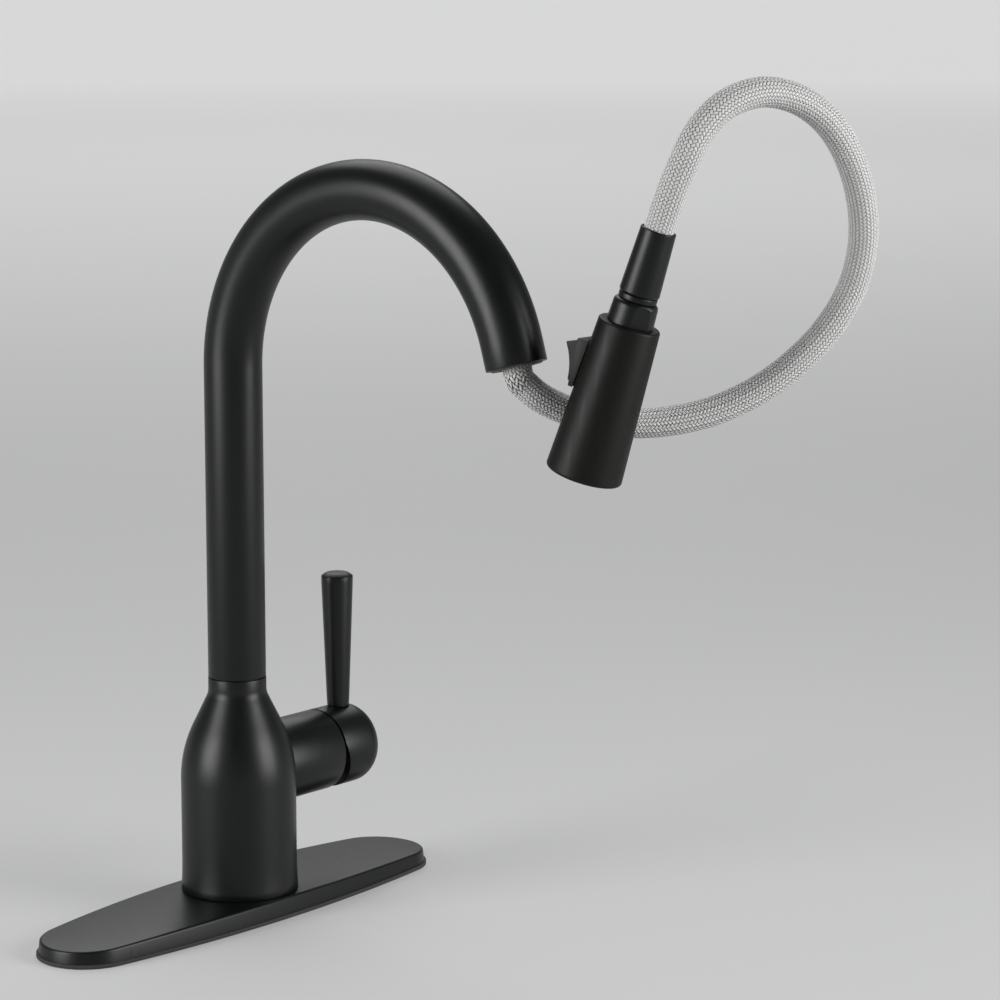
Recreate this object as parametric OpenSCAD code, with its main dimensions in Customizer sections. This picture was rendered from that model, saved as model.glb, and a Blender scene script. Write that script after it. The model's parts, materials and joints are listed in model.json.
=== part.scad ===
// Pull-down kitchen faucet: deck plate, single side handle, swivelling gooseneck spout
// and a spray head on a braided hose, pulled out of the spout.
// Millimetres, +Z up. Origin: centre of the deck plate on the counter's top surface.

/* [Deck plate] */
// length of the deck plate over its gasket
plate_len = 260; // [240:5:280]
// width of the deck plate in the middle
plate_wid = 67; // [64:1:74]
// radius of the plate's rounded ends
plate_end_r = 25.7; // [22:0.1:29]
// height of the plate's top above the counter in the middle
plate_top = 10.6; // [9.6:0.2:14]
// drop of the arched top from the middle to the ends
plate_arch = 2.6; // [1.5:0.1:3.5]
// wall of the plate
plate_wall = 2.5; // [2:0.1:3]
// thickness of the gasket
gasket_h = 1.2; // [1:0.1:1.5]
// how far the gasket shows past the metal
gasket_lip = 1.0; // [0.5:0.1:1.5]

/* [Base] */
// radius of the base's straight part
base_r = 29; // [28.5:0.1:31]
// extra radius at the base's foot
base_flare = 0.6; // [0.2:0.1:1]
// height where the flare ends
base_flare_z = 28; // [20:1:34]
// height where the straight part ends
base_shoulder_z = 67.7; // [66:0.1:69]
// radius of the shoulder's curve in profile
shoulder_r = 64; // [60:1:68]
// slope of the cone under the neck
cone_angle = 26; // [24:1:28]
// height of the joint between base and spout
seam_z = 120; // [119:1:124]
// wall of the base
base_wall = 3; // [2.5:0.1:3.5]

/* [Spout] */
// radius of the spout tube
tube_r = 14.5; // [14.2:0.1:15]
// wall of the spout tube
tube_wall = 2; // [1.8:0.1:2.1]
// radius of the gooseneck's centre line
neck_r = 91.5; // [80:0.5:105]
// height where the gooseneck's bend starts
bend_z = 277; // [240:1:300]
// angle through which the gooseneck turns
bend_angle = 163.7; // [150:0.1:175]
// straight length at the mouth
mouth_straight = 11; // [9:1:30]
// how far the insert shows below the mouth
insert_show = 0.7; // [0.3:0.1:1.5]

/* [Handle] */
// height of the handle's axis
arm_z = 71.2; // [70:0.1:72]
// radius of the side arm and the handle's dome
arm_r = 20.8; // [20.4:0.1:21]
// distance of the arm's end from the spout's axis
arm_end = 58; // [58:0.5:62]
// gap between the arm and the dome
dome_gap = 0.9; // [0.9:0.1:1.5]
// length of the dome along the axis
dome_len = 29.6; // [29:0.2:34]
// radius of the dome's rounded rim
dome_edge_r = 10.5; // [8:0.5:12]
// slope of the dome's relieved underside
relief_angle = 13.7; // [13.5:0.1:16]
// distance of the lever's axis from the arm's end
lever_x = 16.3; // [15:0.1:18]
// height of the lever's top
lever_top = 162; // [140:1:185]
// radius of the lever at its foot
lever_foot_r = 5.6; // [5:0.1:6]
// radius of the lever near its top
lever_tip_r = 8.2; // [7:0.1:9]

/* [Hose] */
// radius of the braided hose
hose_r = 7; // [6.5:0.1:7.2]

/* [Spray head] */
// length of the head's shell
head_len = 74; // [70:1:84]
// radius of the shell's top
head_top_r = 14.5; // [14.2:0.1:15]
// radius of the shell's face end
head_end_r = 18; // [17:0.1:20]
// wall of the shell
head_wall = 2; // [1.8:0.1:2.2]
// length of the hose ferrule
ferrule_len = 30.5; // [28:0.5:36]

/* [Under the deck] */
// radius of the threaded shank
shank_r = 16; // [15.6:0.1:16.4]
// thickest counter the shank is set for
counter_max = 30; // [20:1:34]
// length of the shank below the deck
shank_len = 58; // [54:1:70]

/* [Hidden] */
$fn = 96;
eps = 0.02;
// clearances: between still pieces, and a running fit
fit = 0.05;
run = 0.08;

function arc_pts(c, r, a0, a1, n) =
  [for (i = [0:n]) let (a = a0 + (a1 - a0) * i / n) c + r * [cos(a), sin(a)]];

// the straight end of a bent rod is a hair thicker and starts a little inside the bend
rim_step = 0.02;
rim_lap = 0.06;

module along_x(x, z = 0) { translate([x, 0, z]) rotate([0, 90, 0]) children(); }
module turned_at(x) { translate([x, 0, 0]) rotate_extrude() children(); }
module torus(R, r) { rotate_extrude() translate([R, 0]) circle(r = r, $fn = 32); }
module ring(r_out, r_in, h) {
  difference() {
    cylinder(r = r_out, h = h);
    translate([0, 0, -eps]) cylinder(r = r_in, h = h + 2 * eps);
  }
}

// ---------- deck plate ----------
end_c = plate_len / 2 - plate_end_r;
side_r = (end_c * end_c / (plate_wid / 2 - plate_end_r) + plate_end_r + plate_wid / 2) / 2;
side_off = side_r - plate_wid / 2;
arch_r = (plate_len * plate_len / 4 + plate_arch * plate_arch) / (2 * plate_arch);
plate_hole_r = shank_r + 1;
window_x = end_c * 0.55;
window_len = end_c * 0.5;
window_wid = plate_wid * 0.35;
liner_h = 2;
rib_h = 1.8;
rib_w = 1.6;
rib_pitch = end_c / 5.5;
rib_y = plate_wid * 0.2;
drain_r = 5;

module plate_outline(inset) {
  tangent_x = end_c + (plate_end_r - inset) * end_c / (side_r - plate_end_r);
  intersection() {
    translate([0, side_off]) circle(r = side_r - inset, $fn = 1440);
    translate([0, -side_off]) circle(r = side_r - inset, $fn = 1440);
    square([2 * tangent_x, plate_wid], center = true);
  }
  for (s = [-1, 1]) translate([s * end_c, 0]) circle(r = plate_end_r - inset, $fn = 144);
}

module arch_solid(top) {
  translate([0, 0, top - arch_r]) rotate([90, 0, 0])
    cylinder(r = arch_r, h = 2 * plate_wid, center = true, $fn = 2880);
}

module deck_gasket() {
  color("DimGray") linear_extrude(gasket_h) difference() {
    plate_outline(0);
    circle(r = plate_hole_r);
    for (s = [-1, 1]) translate([s * window_x, 0]) square([window_len, window_wid], center = true);
  }
}

module deck_plate() {
  color("Black") difference() {
    intersection() {
      translate([0, 0, gasket_h]) linear_extrude(plate_top) plate_outline(gasket_lip);
      arch_solid(plate_top);
    }
    intersection() {
      translate([0, 0, gasket_h - 1]) linear_extrude(plate_top) plate_outline(gasket_lip + plate_wall);
      arch_solid(plate_top - plate_wall);
    }
    cylinder(r = plate_hole_r, h = plate_top + 1);
  }
}

module plate_liner() {
  inner = gasket_lip + plate_wall + 2 * fit;
  color("Gray") translate([0, 0, gasket_h]) difference() {
    union() {
      linear_extrude(liner_h) plate_outline(inner);
      linear_extrude(liner_h + rib_h) intersection() {
        plate_outline(inner + 1);
        union() {
          for (i = [-5:5]) translate([i * rib_pitch, 0]) square([rib_w, plate_wid], center = true);
          for (s = [-1, 1]) translate([0, s * rib_y]) square([plate_len, rib_w], center = true);
        }
      }
    }
    translate([0, 0, -1]) cylinder(r = plate_hole_r, h = plate_top);
    for (s = [-1, 1], i = [1:4]) translate([s * (i + 0.5) * rib_pitch, 0, -1])
      cylinder(r = drain_r, h = plate_top);
  }
}

// ---------- base ----------
neck_land = 5.8;
neck_z = seam_z - neck_land;
neck_fillet = 9.5;
neck_out_r = tube_r + 0.1;
hub_r = 12;
hub_seat_z = 88;
hub_bore_r = hose_r + 1.6;
cavity_r = base_r - base_wall;
cavity_top_r = hub_r + 4;
shank_flange_h = 4;
base_z = plate_top;
foot_groove_r = 0.8;
base_seal_at = cavity_r - 1.6;
base_seal_r = 0.4;
fillet_c = [neck_out_r + neck_fillet, neck_z];
hub_rise = 39;
hub_top = seam_z + hub_rise;
hub_upper_r = 11.4;
hub_foot_r = hub_r + 3.4;
hub_foot_h = 4;
seal_groove_rise = 19;
seal_groove_z = seam_z + seal_groove_rise;
seal_groove_h = 2.2;
seal_groove_depth = 0.9;
clip_groove_h = 1.2;
clip_groove_z = hub_top - 2 * clip_groove_h;
clip_groove_depth = 0.7;
washer_h = 0.28;

module base_body() {
  color("Black") difference() {
    rotate_extrude($fn = 144) polygon(concat(
      [[base_r + base_flare, base_z], [base_r, base_flare_z]],
      arc_pts([base_r - shoulder_r, base_shoulder_z], shoulder_r, 0, cone_angle, 10),
      arc_pts(fillet_c, neck_fillet, 180 + cone_angle, 180, 5),
      [[neck_out_r, seam_z], [hub_r + fit, seam_z], [hub_r + fit, hub_seat_z], [cavity_top_r, hub_seat_z],
       [cavity_r, base_shoulder_z - 1], [cavity_r, base_z]]));
    along_x(bulk_x - 2 * fit, arm_z) cylinder(r = arm_r + fit, h = base_r);
    translate([0, 0, base_z]) torus(cavity_r + base_wall / 2, foot_groove_r);
  }
}

module base_seal() {
  color("DarkSlateGray") translate([0, 0, base_z + base_seal_r]) torus(base_seal_at, base_seal_r);
}

module swivel_hub() {
  color("Goldenrod") difference() {
    union() {
      translate([0, 0, hub_seat_z - hub_foot_h]) cylinder(r = hub_foot_r, h = hub_foot_h - fit);
      translate([0, 0, hub_seat_z - 1]) cylinder(r = hub_r, h = seam_z - hub_seat_z + 1);
      translate([0, 0, seam_z - 1]) cylinder(r = hub_upper_r, h = hub_top - seam_z + 1);
    }
    translate([0, 0, hub_seat_z - hub_foot_h - 1]) cylinder(r = hub_bore_r, h = hub_top);
    translate([0, 0, seal_groove_z]) ring(hub_upper_r + 1, hub_upper_r - seal_groove_depth, seal_groove_h);
    translate([0, 0, clip_groove_z]) ring(hub_upper_r + 1, hub_upper_r - clip_groove_depth, clip_groove_h);
  }
}

module swivel_washer() {
  color("Black") translate([0, 0, seam_z]) ring(neck_out_r - 0.9, hub_upper_r + run, washer_h);
}

module hub_circlip() {
  clip_gap = 3;
  clip_wire = clip_groove_depth - 2 * fit;
  color("Silver") translate([0, 0, clip_groove_z + 2 * fit]) difference() {
    ring(hub_upper_r + clip_wire, hub_upper_r - clip_wire, clip_groove_h - 4 * fit);
    translate([0, 0, -1]) rotate([0, 0, 20]) cube([hub_r + 2, clip_gap, clip_groove_h + 2]);
  }
}

module shank() {
  pitch = 2;
  depth = 1;
  bore_r = shank_r - 2.5;
  first = -shank_len + 0.4;
  teeth = floor((shank_len - counter_max + 4) / pitch);
  color("Goldenrod") difference() {
    rotate_extrude() polygon(concat(
      [[bore_r, -shank_len], [shank_r - depth, -shank_len]],
      [for (i = [0:teeth - 1]) for (k = [0, 1]) [shank_r - (1 - k) * depth, first + (i + k * 0.5) * pitch]],
      [[shank_r - depth, first + teeth * pitch], [shank_r, first + 0.6 + teeth * pitch],
       [shank_r, base_z], [cavity_r - fit, base_z], [cavity_r - fit, base_z + shank_flange_h],
       [bore_r, base_z + shank_flange_h]]));
    translate([0, 0, base_z + base_seal_r]) torus(base_seal_at, base_seal_r + fit);
  }
}

washer_out = 29;
washer_in = shank_r + 4 * fit;
rubber_h = 3;
steel_h = 2;
lock_nut_h = 10;
lock_nut_r = 25;
lock_flange_r = 26;
lock_flange_h = 3;
rubber_z = -counter_max - rubber_h;
steel_z = rubber_z - steel_h;

module rubber_washer() {
  color("DimGray") translate([0, 0, rubber_z]) ring(washer_out, washer_in, rubber_h - fit);
}
module steel_washer() {
  color("Silver") translate([0, 0, steel_z]) ring(washer_out - 1, washer_in, steel_h - fit);
}

module mounting_nut() {
  color("Goldenrod") translate([0, 0, steel_z - lock_nut_h]) difference() {
    union() {
      translate([0, 0, lock_nut_h - lock_flange_h]) cylinder(r = lock_flange_r, h = lock_flange_h - fit);
      cylinder(r = lock_nut_r, h = lock_nut_h - lock_flange_h + 1, $fn = 6);
    }
    translate([0, 0, -1]) cylinder(r = shank_r + fit, h = lock_nut_h + 2);
    translate([0, 0, -1]) cylinder(r1 = shank_r + 2, r2 = shank_r, h = 2);
  }
}

// ---------- inlets and valve ----------
inlet_r = 2.6;
inlet_wall = 0.7;
inlet_ring = 10.6;
inlet_turn = 60;
inlet_bend_z = -shank_len - 4;
inlet_bend_r = 20;
inlet_splay = 35;
inlet_end = 16;
block_z = arm_z - 11;
block_h = 22;
block_half = 16;
block_dip = 6;

// a supply tail's line: down through the shank, then splayed outwards, with an end that is a hair thicker
module tail(r, over = 0) {
  translate([0, 0, inlet_bend_z]) cylinder(r = r, h = block_z + block_dip - inlet_bend_z + over, $fn = 48);
  translate([inlet_bend_r, 0, inlet_bend_z]) rotate([90, 0, 0]) {
    rotate([0, 0, 180]) rotate_extrude(angle = inlet_splay, $fn = 120)
      translate([inlet_bend_r, 0]) circle(r = r, $fn = 48);
    rotate([0, 0, 180 + inlet_splay]) translate([inlet_bend_r, -rim_lap, 0]) rotate([-90, 0, 0])
      cylinder(r = r + rim_step, h = inlet_end + rim_lap + over, $fn = 48);
  }
}
module inlet(s) {
  rotate([0, 0, s * inlet_turn]) translate([inlet_ring, 0, 0]) difference() {
    tail(inlet_r);
    tail(inlet_r - inlet_wall, 1);
  }
}
module inlet_hot() { color("Peru") inlet(1); }
module inlet_cold() { color("Peru") inlet(-1); }

bulk_x = hub_r + 6;
bulk_wall = 6;
case_x = bulk_x + bulk_wall;
pivot_back = 12;
pivot_x = arm_end - pivot_back;
disc_back = 16;
disc_x = pivot_x - disc_back + fit;
disc_h = 3.4;
case_floor = disc_x - fit - case_x;
slider_r = 9.8;
slider_h = 4;
slider_x = disc_x + disc_h + fit;
ball_r = 6.5;
finger_r = 2;
finger_reach = 9.4;
stem_pin_r = 1.2;
stem_pin_half = 9.5;
case_r = arm_r - 3.3;
case_wall = 4.5;
case_in_r = case_r - case_wall;
case_end = pivot_x + 4.5;
carrier_r = case_in_r - 0.6;
carrier_back = 8;
carrier_h = 12;
port_r = 3;
port_depth = 8;
ports = [[-7, -4], [7, -4], [0, 8]];
seat_r = port_r + 1.3;
seat_depth = 1.5;
seat_seal_r = 0.7;

module port_holes(x0, len, r) {
  for (p = ports) translate([x0, p[0], arm_z + p[1]]) rotate([0, 90, 0]) cylinder(r = r, h = len, $fn = 48);
}

module water_block() {
  color("Goldenrod") difference() {
    intersection() {
      translate([2, -block_half, block_z]) cube([bulk_x - 2 - fit, 2 * block_half, block_h]);
      rotate_extrude() polygon([
        [0, block_z - 1], [cavity_r - 2 * fit, block_z - 1], [cavity_r - 2 * fit, base_shoulder_z - 1],
        [cavity_top_r - 2 * fit, hub_seat_z], [0, hub_seat_z]]);
    }
    translate([0, 0, block_z - 1]) cylinder(r = hose_r + 0.5, h = block_h + 2);
    for (s = [-1, 1]) rotate([0, 0, s * inlet_turn]) translate([inlet_ring, 0, block_z - 1])
      cylinder(r = inlet_r + fit, h = block_dip + 3);
    port_holes(bulk_x - port_depth, port_depth + 1, port_r);
  }
}

module valve_arm() {
  color("Black") difference() {
    along_x(bulk_x, arm_z) cylinder(r = arm_r, h = arm_end - bulk_x, $fn = 144);
    along_x(case_x, arm_z) cylinder(r = case_r + 0.1, h = arm_end);
    port_holes(bulk_x - 1, bulk_wall + 2, port_r);
  }
}

module seat_seals() {
  color("DarkSlateGray") for (p = ports)
    translate([case_x + seat_depth / 2, p[0], arm_z + p[1]]) rotate([0, 90, 0]) torus(port_r + 0.5, seat_seal_r);
}

module cartridge_case() {
  color("Gainsboro") difference() {
    along_x(case_x, arm_z) cylinder(r = case_r, h = case_end - case_x);
    along_x(case_x + case_floor, arm_z) cylinder(r = case_in_r, h = arm_end);
    port_holes(case_x - 1, case_floor + 2, port_r);
    port_holes(case_x - 1, seat_depth + 1, seat_r);
  }
}

module fixed_disc() {
  color("White") difference() {
    along_x(disc_x, arm_z) cylinder(r = case_in_r - fit, h = disc_h);
    port_holes(disc_x - 1, disc_h + 2, port_r - 0.5);
  }
}

module moving_disc() {
  slot_depth = 1.55;
  slot_half = 3;
  slot_h = 4;
  color("WhiteSmoke") difference() {
    along_x(slider_x, arm_z) cylinder(r = slider_r, h = slider_h);
    along_x(slider_x + slot_depth, arm_z) cylinder(r = finger_r + 0.9, h = slider_h);
    translate([slider_x - 1, -slot_half, arm_z + slot_half]) cube([slot_depth + 1, 2 * slot_half, slot_h]);
  }
}

module stem_carrier() {
  slot_half = finger_r + 0.3;
  color("Gainsboro") difference() {
    along_x(pivot_x - carrier_back, arm_z) cylinder(r = carrier_r, h = carrier_h);
    translate([pivot_x, 0, arm_z]) sphere(r = ball_r + 2 * fit);
    along_x(pivot_x, arm_z) cylinder(r1 = ball_r - 1.1, r2 = ball_r + 0.1, h = carrier_h - carrier_back + 1);
    translate([pivot_x - carrier_back - 1, -slot_half, arm_z - 2.5]) cube([5, 2 * slot_half, 8]);
    pin_line(stem_pin_r + fit, stem_pin_half + fit);
  }
}

module pin_line(r, half) {
  translate([pivot_x, half, arm_z]) rotate([90, 0, 0]) cylinder(r = r, h = 2 * half, $fn = 48);
}
module stem_pin() { color("Silver") pin_line(stem_pin_r, stem_pin_half); }

nut_x = case_end + 2 * fit;
nut_face = arm_end - 2;
module cartridge_nut() {
  slot_w = 3;
  slot_x = nut_x + 4;
  color("Goldenrod") difference() {
    along_x(nut_x, arm_z) cylinder(r = case_r - fit, h = nut_face - nut_x);
    along_x(pivot_x + 4, arm_z) cylinder(r1 = 10, r2 = 12.5, h = 12);
    for (a = [0:60:300]) translate([slot_x, 0, arm_z]) rotate([a, 0, 0])
      translate([0, case_in_r, -slot_w / 2]) cube([4, 6, slot_w]);
  }
}

bonnet_r = 17;
bonnet_wall = 2;
bonnet_mouth_r = 9.4;
bonnet_h = 12;
module bonnet_ring() {
  color("Black") intersection() {
    difference() {
      translate([pivot_x, 0, arm_z]) sphere(r = bonnet_r);
      translate([pivot_x, 0, arm_z]) sphere(r = bonnet_r - bonnet_wall);
    }
    along_x(nut_face + fit, arm_z) ring(bonnet_r, bonnet_mouth_r, bonnet_h);
  }
}

// ---------- handle ----------
dome_x = arm_end + dome_gap;
relief_rise = 6.3;
lever_axis = arm_end + lever_x;
lever_sink = 1.8;
lever_seat = arm_z + arm_r - lever_sink;
lever_spigot_r = 3;
lever_spigot_h = 8.8;
stem_rod_r = 4.5;
stem_end = lever_axis + 6;
screw_r = 2;
screw_inset = 3;

module handle_stem() {
  color("Silver") difference() {
    union() {
      translate([pivot_x, 0, arm_z]) sphere(r = ball_r);
      along_x(pivot_x, arm_z) cylinder(r = stem_rod_r, h = stem_end - pivot_x);
      along_x(pivot_x - finger_reach, arm_z) cylinder(r = finger_r, h = ball_r - 0.5);
    }
    translate([lever_axis, 0, arm_z - stem_rod_r - 0.5]) cylinder(r = screw_r, h = 2);
    pin_line(stem_pin_r + run, ball_r + 1);
  }
}

module handle_dome() {
  crown = dome_x + dome_len;
  relief = tan(relief_angle);
  relief_drop = arm_r + relief_rise + 2;
  color("Black") difference() {
    along_x(0, arm_z) rotate_extrude($fn = 144) union() {
      translate([0, dome_x]) square([arm_r, dome_len - dome_edge_r]);
      translate([0, dome_x]) square([arm_r - dome_edge_r, dome_len]);
      intersection() {
        translate([arm_r - dome_edge_r, crown - dome_edge_r]) circle(r = dome_edge_r, $fn = 144);
        translate([0, crown - 2 * dome_edge_r]) square([arm_r, 2 * dome_edge_r]);
      }
    }
    translate([0, arm_r + 1, arm_z + relief_rise]) rotate([90, 0, 0]) linear_extrude(2 * arm_r + 2) polygon([
      [dome_x - 1, 0], [dome_x, 0], [dome_x + relief * relief_drop, -relief_drop], [dome_x - 1, -relief_drop]]);
    translate([pivot_x, 0, arm_z]) sphere(r = bonnet_r + 0.8);
    along_x(pivot_x, arm_z) cylinder(r = stem_rod_r + fit, h = stem_end - pivot_x + 0.2);
    translate([lever_axis, 0, lever_seat]) cylinder(r = lever_foot_r + 0.5, h = lever_sink + 8);
    translate([lever_axis, 0, lever_seat - lever_spigot_h - 0.2])
      cylinder(r = lever_spigot_r + fit, h = lever_spigot_h + 1);
    translate([lever_axis, 0, arm_z - arm_r - 1]) cylinder(r = screw_r + fit, h = arm_r - screw_inset);
  }
}

module lever() {
  mid_z = lever_seat + 36;
  mid_r = (lever_foot_r + lever_tip_r) / 2 + 0.15;
  spigot_z = lever_seat - lever_spigot_h;
  chamfer = [2.6, 1.5];
  color("Black") turned_at(lever_axis) polygon([
    [0, spigot_z], [lever_spigot_r - 0.6, spigot_z], [lever_spigot_r, spigot_z + 0.6],
    [lever_spigot_r, lever_seat + fit],
    [lever_foot_r - 0.5, lever_seat + fit], [lever_foot_r, lever_seat + 0.6],
    [lever_foot_r + 0.25, lever_seat + 4],
    [mid_r, mid_z], [lever_tip_r - 0.05, lever_top - 5],
    [lever_tip_r, lever_top - chamfer[1]], [lever_tip_r - chamfer[0], lever_top], [0, lever_top]]);
}

module set_screw() {
  color("Silver") difference() {
    translate([lever_axis, 0, arm_z - arm_r + screw_inset])
      cylinder(r = screw_r, h = arm_r - screw_inset - stem_rod_r - 2 * fit);
    translate([lever_axis, 0, arm_z - arm_r + screw_inset - 1]) cylinder(r = screw_r * 0.6, h = 4, $fn = 6);
  }
}

// ---------- spout ----------
tube_in = tube_r - tube_wall;
seam_gap = 0.35;
mouth_c = [0, -neck_r - neck_r * cos(180 - bend_angle), bend_z + neck_r * sin(180 - bend_angle)];
mouth_dir = [0, -sin(bend_angle), cos(bend_angle)];
mouth_p = mouth_c + mouth_straight * mouth_dir;

// a rod along the spout's line: riser, bend and straight end
module gooseneck(r, z0, over = 0) {
  translate([0, 0, z0 - over]) cylinder(r = r, h = bend_z - z0 + over, $fn = 64);
  translate([0, -neck_r, bend_z]) rotate([90, 0, 90]) {
    rotate_extrude(angle = bend_angle, $fn = 180) translate([neck_r, 0]) circle(r = r, $fn = 64);
    rotate([0, 0, bend_angle]) translate([neck_r, -rim_lap, 0]) rotate([-90, 0, 0])
      cylinder(r = r + rim_step, h = mouth_straight + rim_lap + over, $fn = 64);
  }
}

module spout_tube() {
  color("Black") difference() {
    gooseneck(tube_r, seam_z + seam_gap);
    gooseneck(tube_in, seam_z + seam_gap, 1);
  }
}
bush_h = 7;
bush_low = 1;
bush_high = 27;
spout_seal_r = 0.7;
module bush(rise) { translate([0, 0, seam_z + rise]) ring(tube_in - fit, hub_upper_r + run, bush_h); }
module bush_lower() { color("White") bush(bush_low); }
module bush_upper() { color("White") bush(bush_high); }
module spout_seal() {
  color("DarkSlateGray") translate([0, 0, seal_groove_z + seal_groove_h / 2])
    torus(hub_upper_r - 0.15, spout_seal_r);
}

module mouth_insert() {
  throat_r = hose_r + 2;
  color("DarkSlateGray") translate(mouth_p + insert_show * mouth_dir) rotate([bend_angle + 180, 0, 0])
    rotate_extrude() polygon([
      [throat_r + 0.4, 0], [tube_in - 0.6, 0], [tube_in - fit, insert_show],
      [tube_in - fit, mouth_straight], [throat_r, mouth_straight], [throat_r, 0.4]]);
}

hose_below = 26;
hose_foot_z = -shank_len - hose_below;
module inner_hose() { color("Silver") gooseneck(hose_r, hose_foot_z); }

crimp_h = 8;
coupling_hex_h = 6;
nose_r = 6;
nose_h = 12;
nose_groove_z = 6.2;
nose_groove_h = 2.2;
coupling_z = hose_foot_z - crimp_h - coupling_hex_h - nose_h;
module hose_coupling() {
  color("Goldenrod") translate([0, 0, coupling_z]) difference() {
    union() {
      translate([0, 0, nose_h + coupling_hex_h]) cylinder(r = hose_r + 1.2, h = crimp_h);
      translate([0, 0, nose_h]) cylinder(r = hose_r + 2.8, h = coupling_hex_h, $fn = 6);
      cylinder(r = nose_r, h = nose_h + 0.5);
    }
    translate([0, 0, -1]) cylinder(r = nose_r - 2.5, h = nose_h + coupling_hex_h + crimp_h);
    translate([0, 0, nose_groove_z]) ring(nose_r + 1, nose_r - 0.8, nose_groove_h);
  }
}
module coupling_seal() {
  color("DarkSlateGray") translate([0, 0, coupling_z + nose_groove_z + nose_groove_h / 2])
    torus(nose_r + 0.1, 0.85);
}

// ---------- free hose ----------
head_from_mouth = [15.2, -53.8, 22.4];
head_o = mouth_p + head_from_mouth;
head_tilt = 17.5;
head_azimuth = -73;
button_azimuth = 172;
nut_h = 11.5;
collar_h = 2.85;
ferrule_z = nut_h + collar_h + 0.25;
ferrule_top = ferrule_z + ferrule_len;
socket_depth = 20;
head_axis = [sin(head_tilt) * cos(head_azimuth), sin(head_tilt) * sin(head_azimuth), cos(head_tilt)];
ferrule_p = head_o + ferrule_top * head_axis;
hose_end = head_o + (ferrule_top - socket_depth) * head_axis;

// the points that the hose hangs along, measured from the mouth
hang = [
  [3, -3.5, -9.5], [8, -7, -14.5], [16, -12, -19.5], [28, -20, -25], [45, -32.5, -28.5], [61, -46, -27.5],
  [77.5, -59.5, -22.5], [93, -72.5, -13], [106, -84, 0], [116, -94, 15.5], [122, -102, 34],
  [122.5, -107, 54.5], [117.5, -109, 75], [108, -108.5, 94.5], [94.5, -106, 111], [77.5, -101, 122],
  [58, -94.5, 126], [40, -88, 121], [28.5, -82.5, 110], [22.5, -78, 96], [20, -72.5, 81]
];
hose_lead = 6;
lead_p = mouth_p + hose_lead * mouth_dir;
route = concat([mouth_p, lead_p], [for (p = hang) mouth_p + p], [ferrule_p, hose_end]);
route_first = 2 * route[0] - route[1];
route_last = 2 * route[len(route) - 1] - route[len(route) - 2];
ext_route = concat([route_first], route, [route_last]);
sides = 12;
steps = 3;
loop_normal = [-0.76, -0.63, 0.17];

function blend(a, b, c, d, t) =
  0.5 * (2 * b + (c - a) * t + (2 * a - 5 * b + 4 * c - d) * t * t + (3 * b - a - 3 * c + d) * t * t * t);
function slope(a, b, c, d, t) =
  0.5 * ((c - a) + 2 * (2 * a - 5 * b + 4 * c - d) * t + 3 * (3 * b - a - 3 * c + d) * t * t);
function unit(v) = v / norm(v);
last_seg = len(route) - 2;
path = concat(
  [for (i = [0:last_seg]) for (k = [0:steps - 1])
    let (a = ext_route[i], b = ext_route[i + 1], c = ext_route[i + 2], d = ext_route[i + 3], t = k / steps)
    [blend(a, b, c, d, t), unit(slope(a, b, c, d, t))]],
  [[route[last_seg + 1], -head_axis]]);
function ring_pts(p, t, r) =
  let (e1 = unit(cross(loop_normal, t)), e2 = cross(t, e1))
  [for (j = [0:sides - 1]) p + r * (cos(360 * j / sides) * e1 + sin(360 * j / sides) * e2)];

module free_hose() {
  n = len(path);
  pts = [for (s = path) for (q = ring_pts(s[0], s == path[0] ? mouth_dir : s[1], hose_r)) q];
  walls = [for (i = [0:n - 2]) for (j = [0:sides - 1])
    let (k = (j + 1) % sides) [i * sides + j, (i + 1) * sides + j, (i + 1) * sides + k, i * sides + k]];
  caps = [[for (j = [0:sides - 1]) j], [for (j = [0:sides - 1]) (n - 1) * sides + sides - 1 - j]];
  color("Silver") polyhedron(points = pts, faces = concat(walls, caps), convexity = 6);
}

// ---------- spray head, drawn upright with its top at z = 0 and its button towards +X ----------
module in_head() {
  translate(head_o) rotate([0, head_tilt, head_azimuth]) rotate([0, 0, button_azimuth]) children();
}

spigot_r = 7.5;
spigot_top = 6;
spigot_bore_r = 3.6;
spigot_flange_r = 11;
spigot_flange_h = 3;
gasket_t = 1.2;
stem_r = 4.5;
stem_bore_r = 3;
stem_in = 9;
flange_z = spigot_top + gasket_t;
flange_r = 7;
flange_h = 1.8;
ferrule_foot_r = hose_r + 2;
nut_r = 10.9;
nut_flat_r = 9.85;
nut_throat_r = stem_r + 0.4;
screen_r = 5;
screen_z = 2;

module hose_ferrule() {
  color("Black") in_head() difference() {
    rotate_extrude() polygon([
      [0, ferrule_z], [ferrule_foot_r, ferrule_z], [ferrule_foot_r + 0.4, ferrule_z + 0.5],
      [hose_r + 1.2, ferrule_top - 0.8], [hose_r + 0.8, ferrule_top], [0, ferrule_top]]);
    translate([0, 0, ferrule_top - socket_depth]) cylinder(r = hose_r + 0.15, h = socket_depth + 1);
    translate([0, 0, ferrule_z - 1]) cylinder(r = stem_r + fit, h = stem_in + 1.5);
  }
}

module swivel_stem() {
  color("Goldenrod") in_head() difference() {
    union() {
      translate([0, 0, flange_z]) cylinder(r = flange_r, h = flange_h);
      translate([0, 0, flange_z]) cylinder(r = stem_r, h = ferrule_z + stem_in - flange_z);
    }
    translate([0, 0, flange_z - 1]) cylinder(r = stem_bore_r, h = ferrule_z + stem_in);
  }
}

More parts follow.
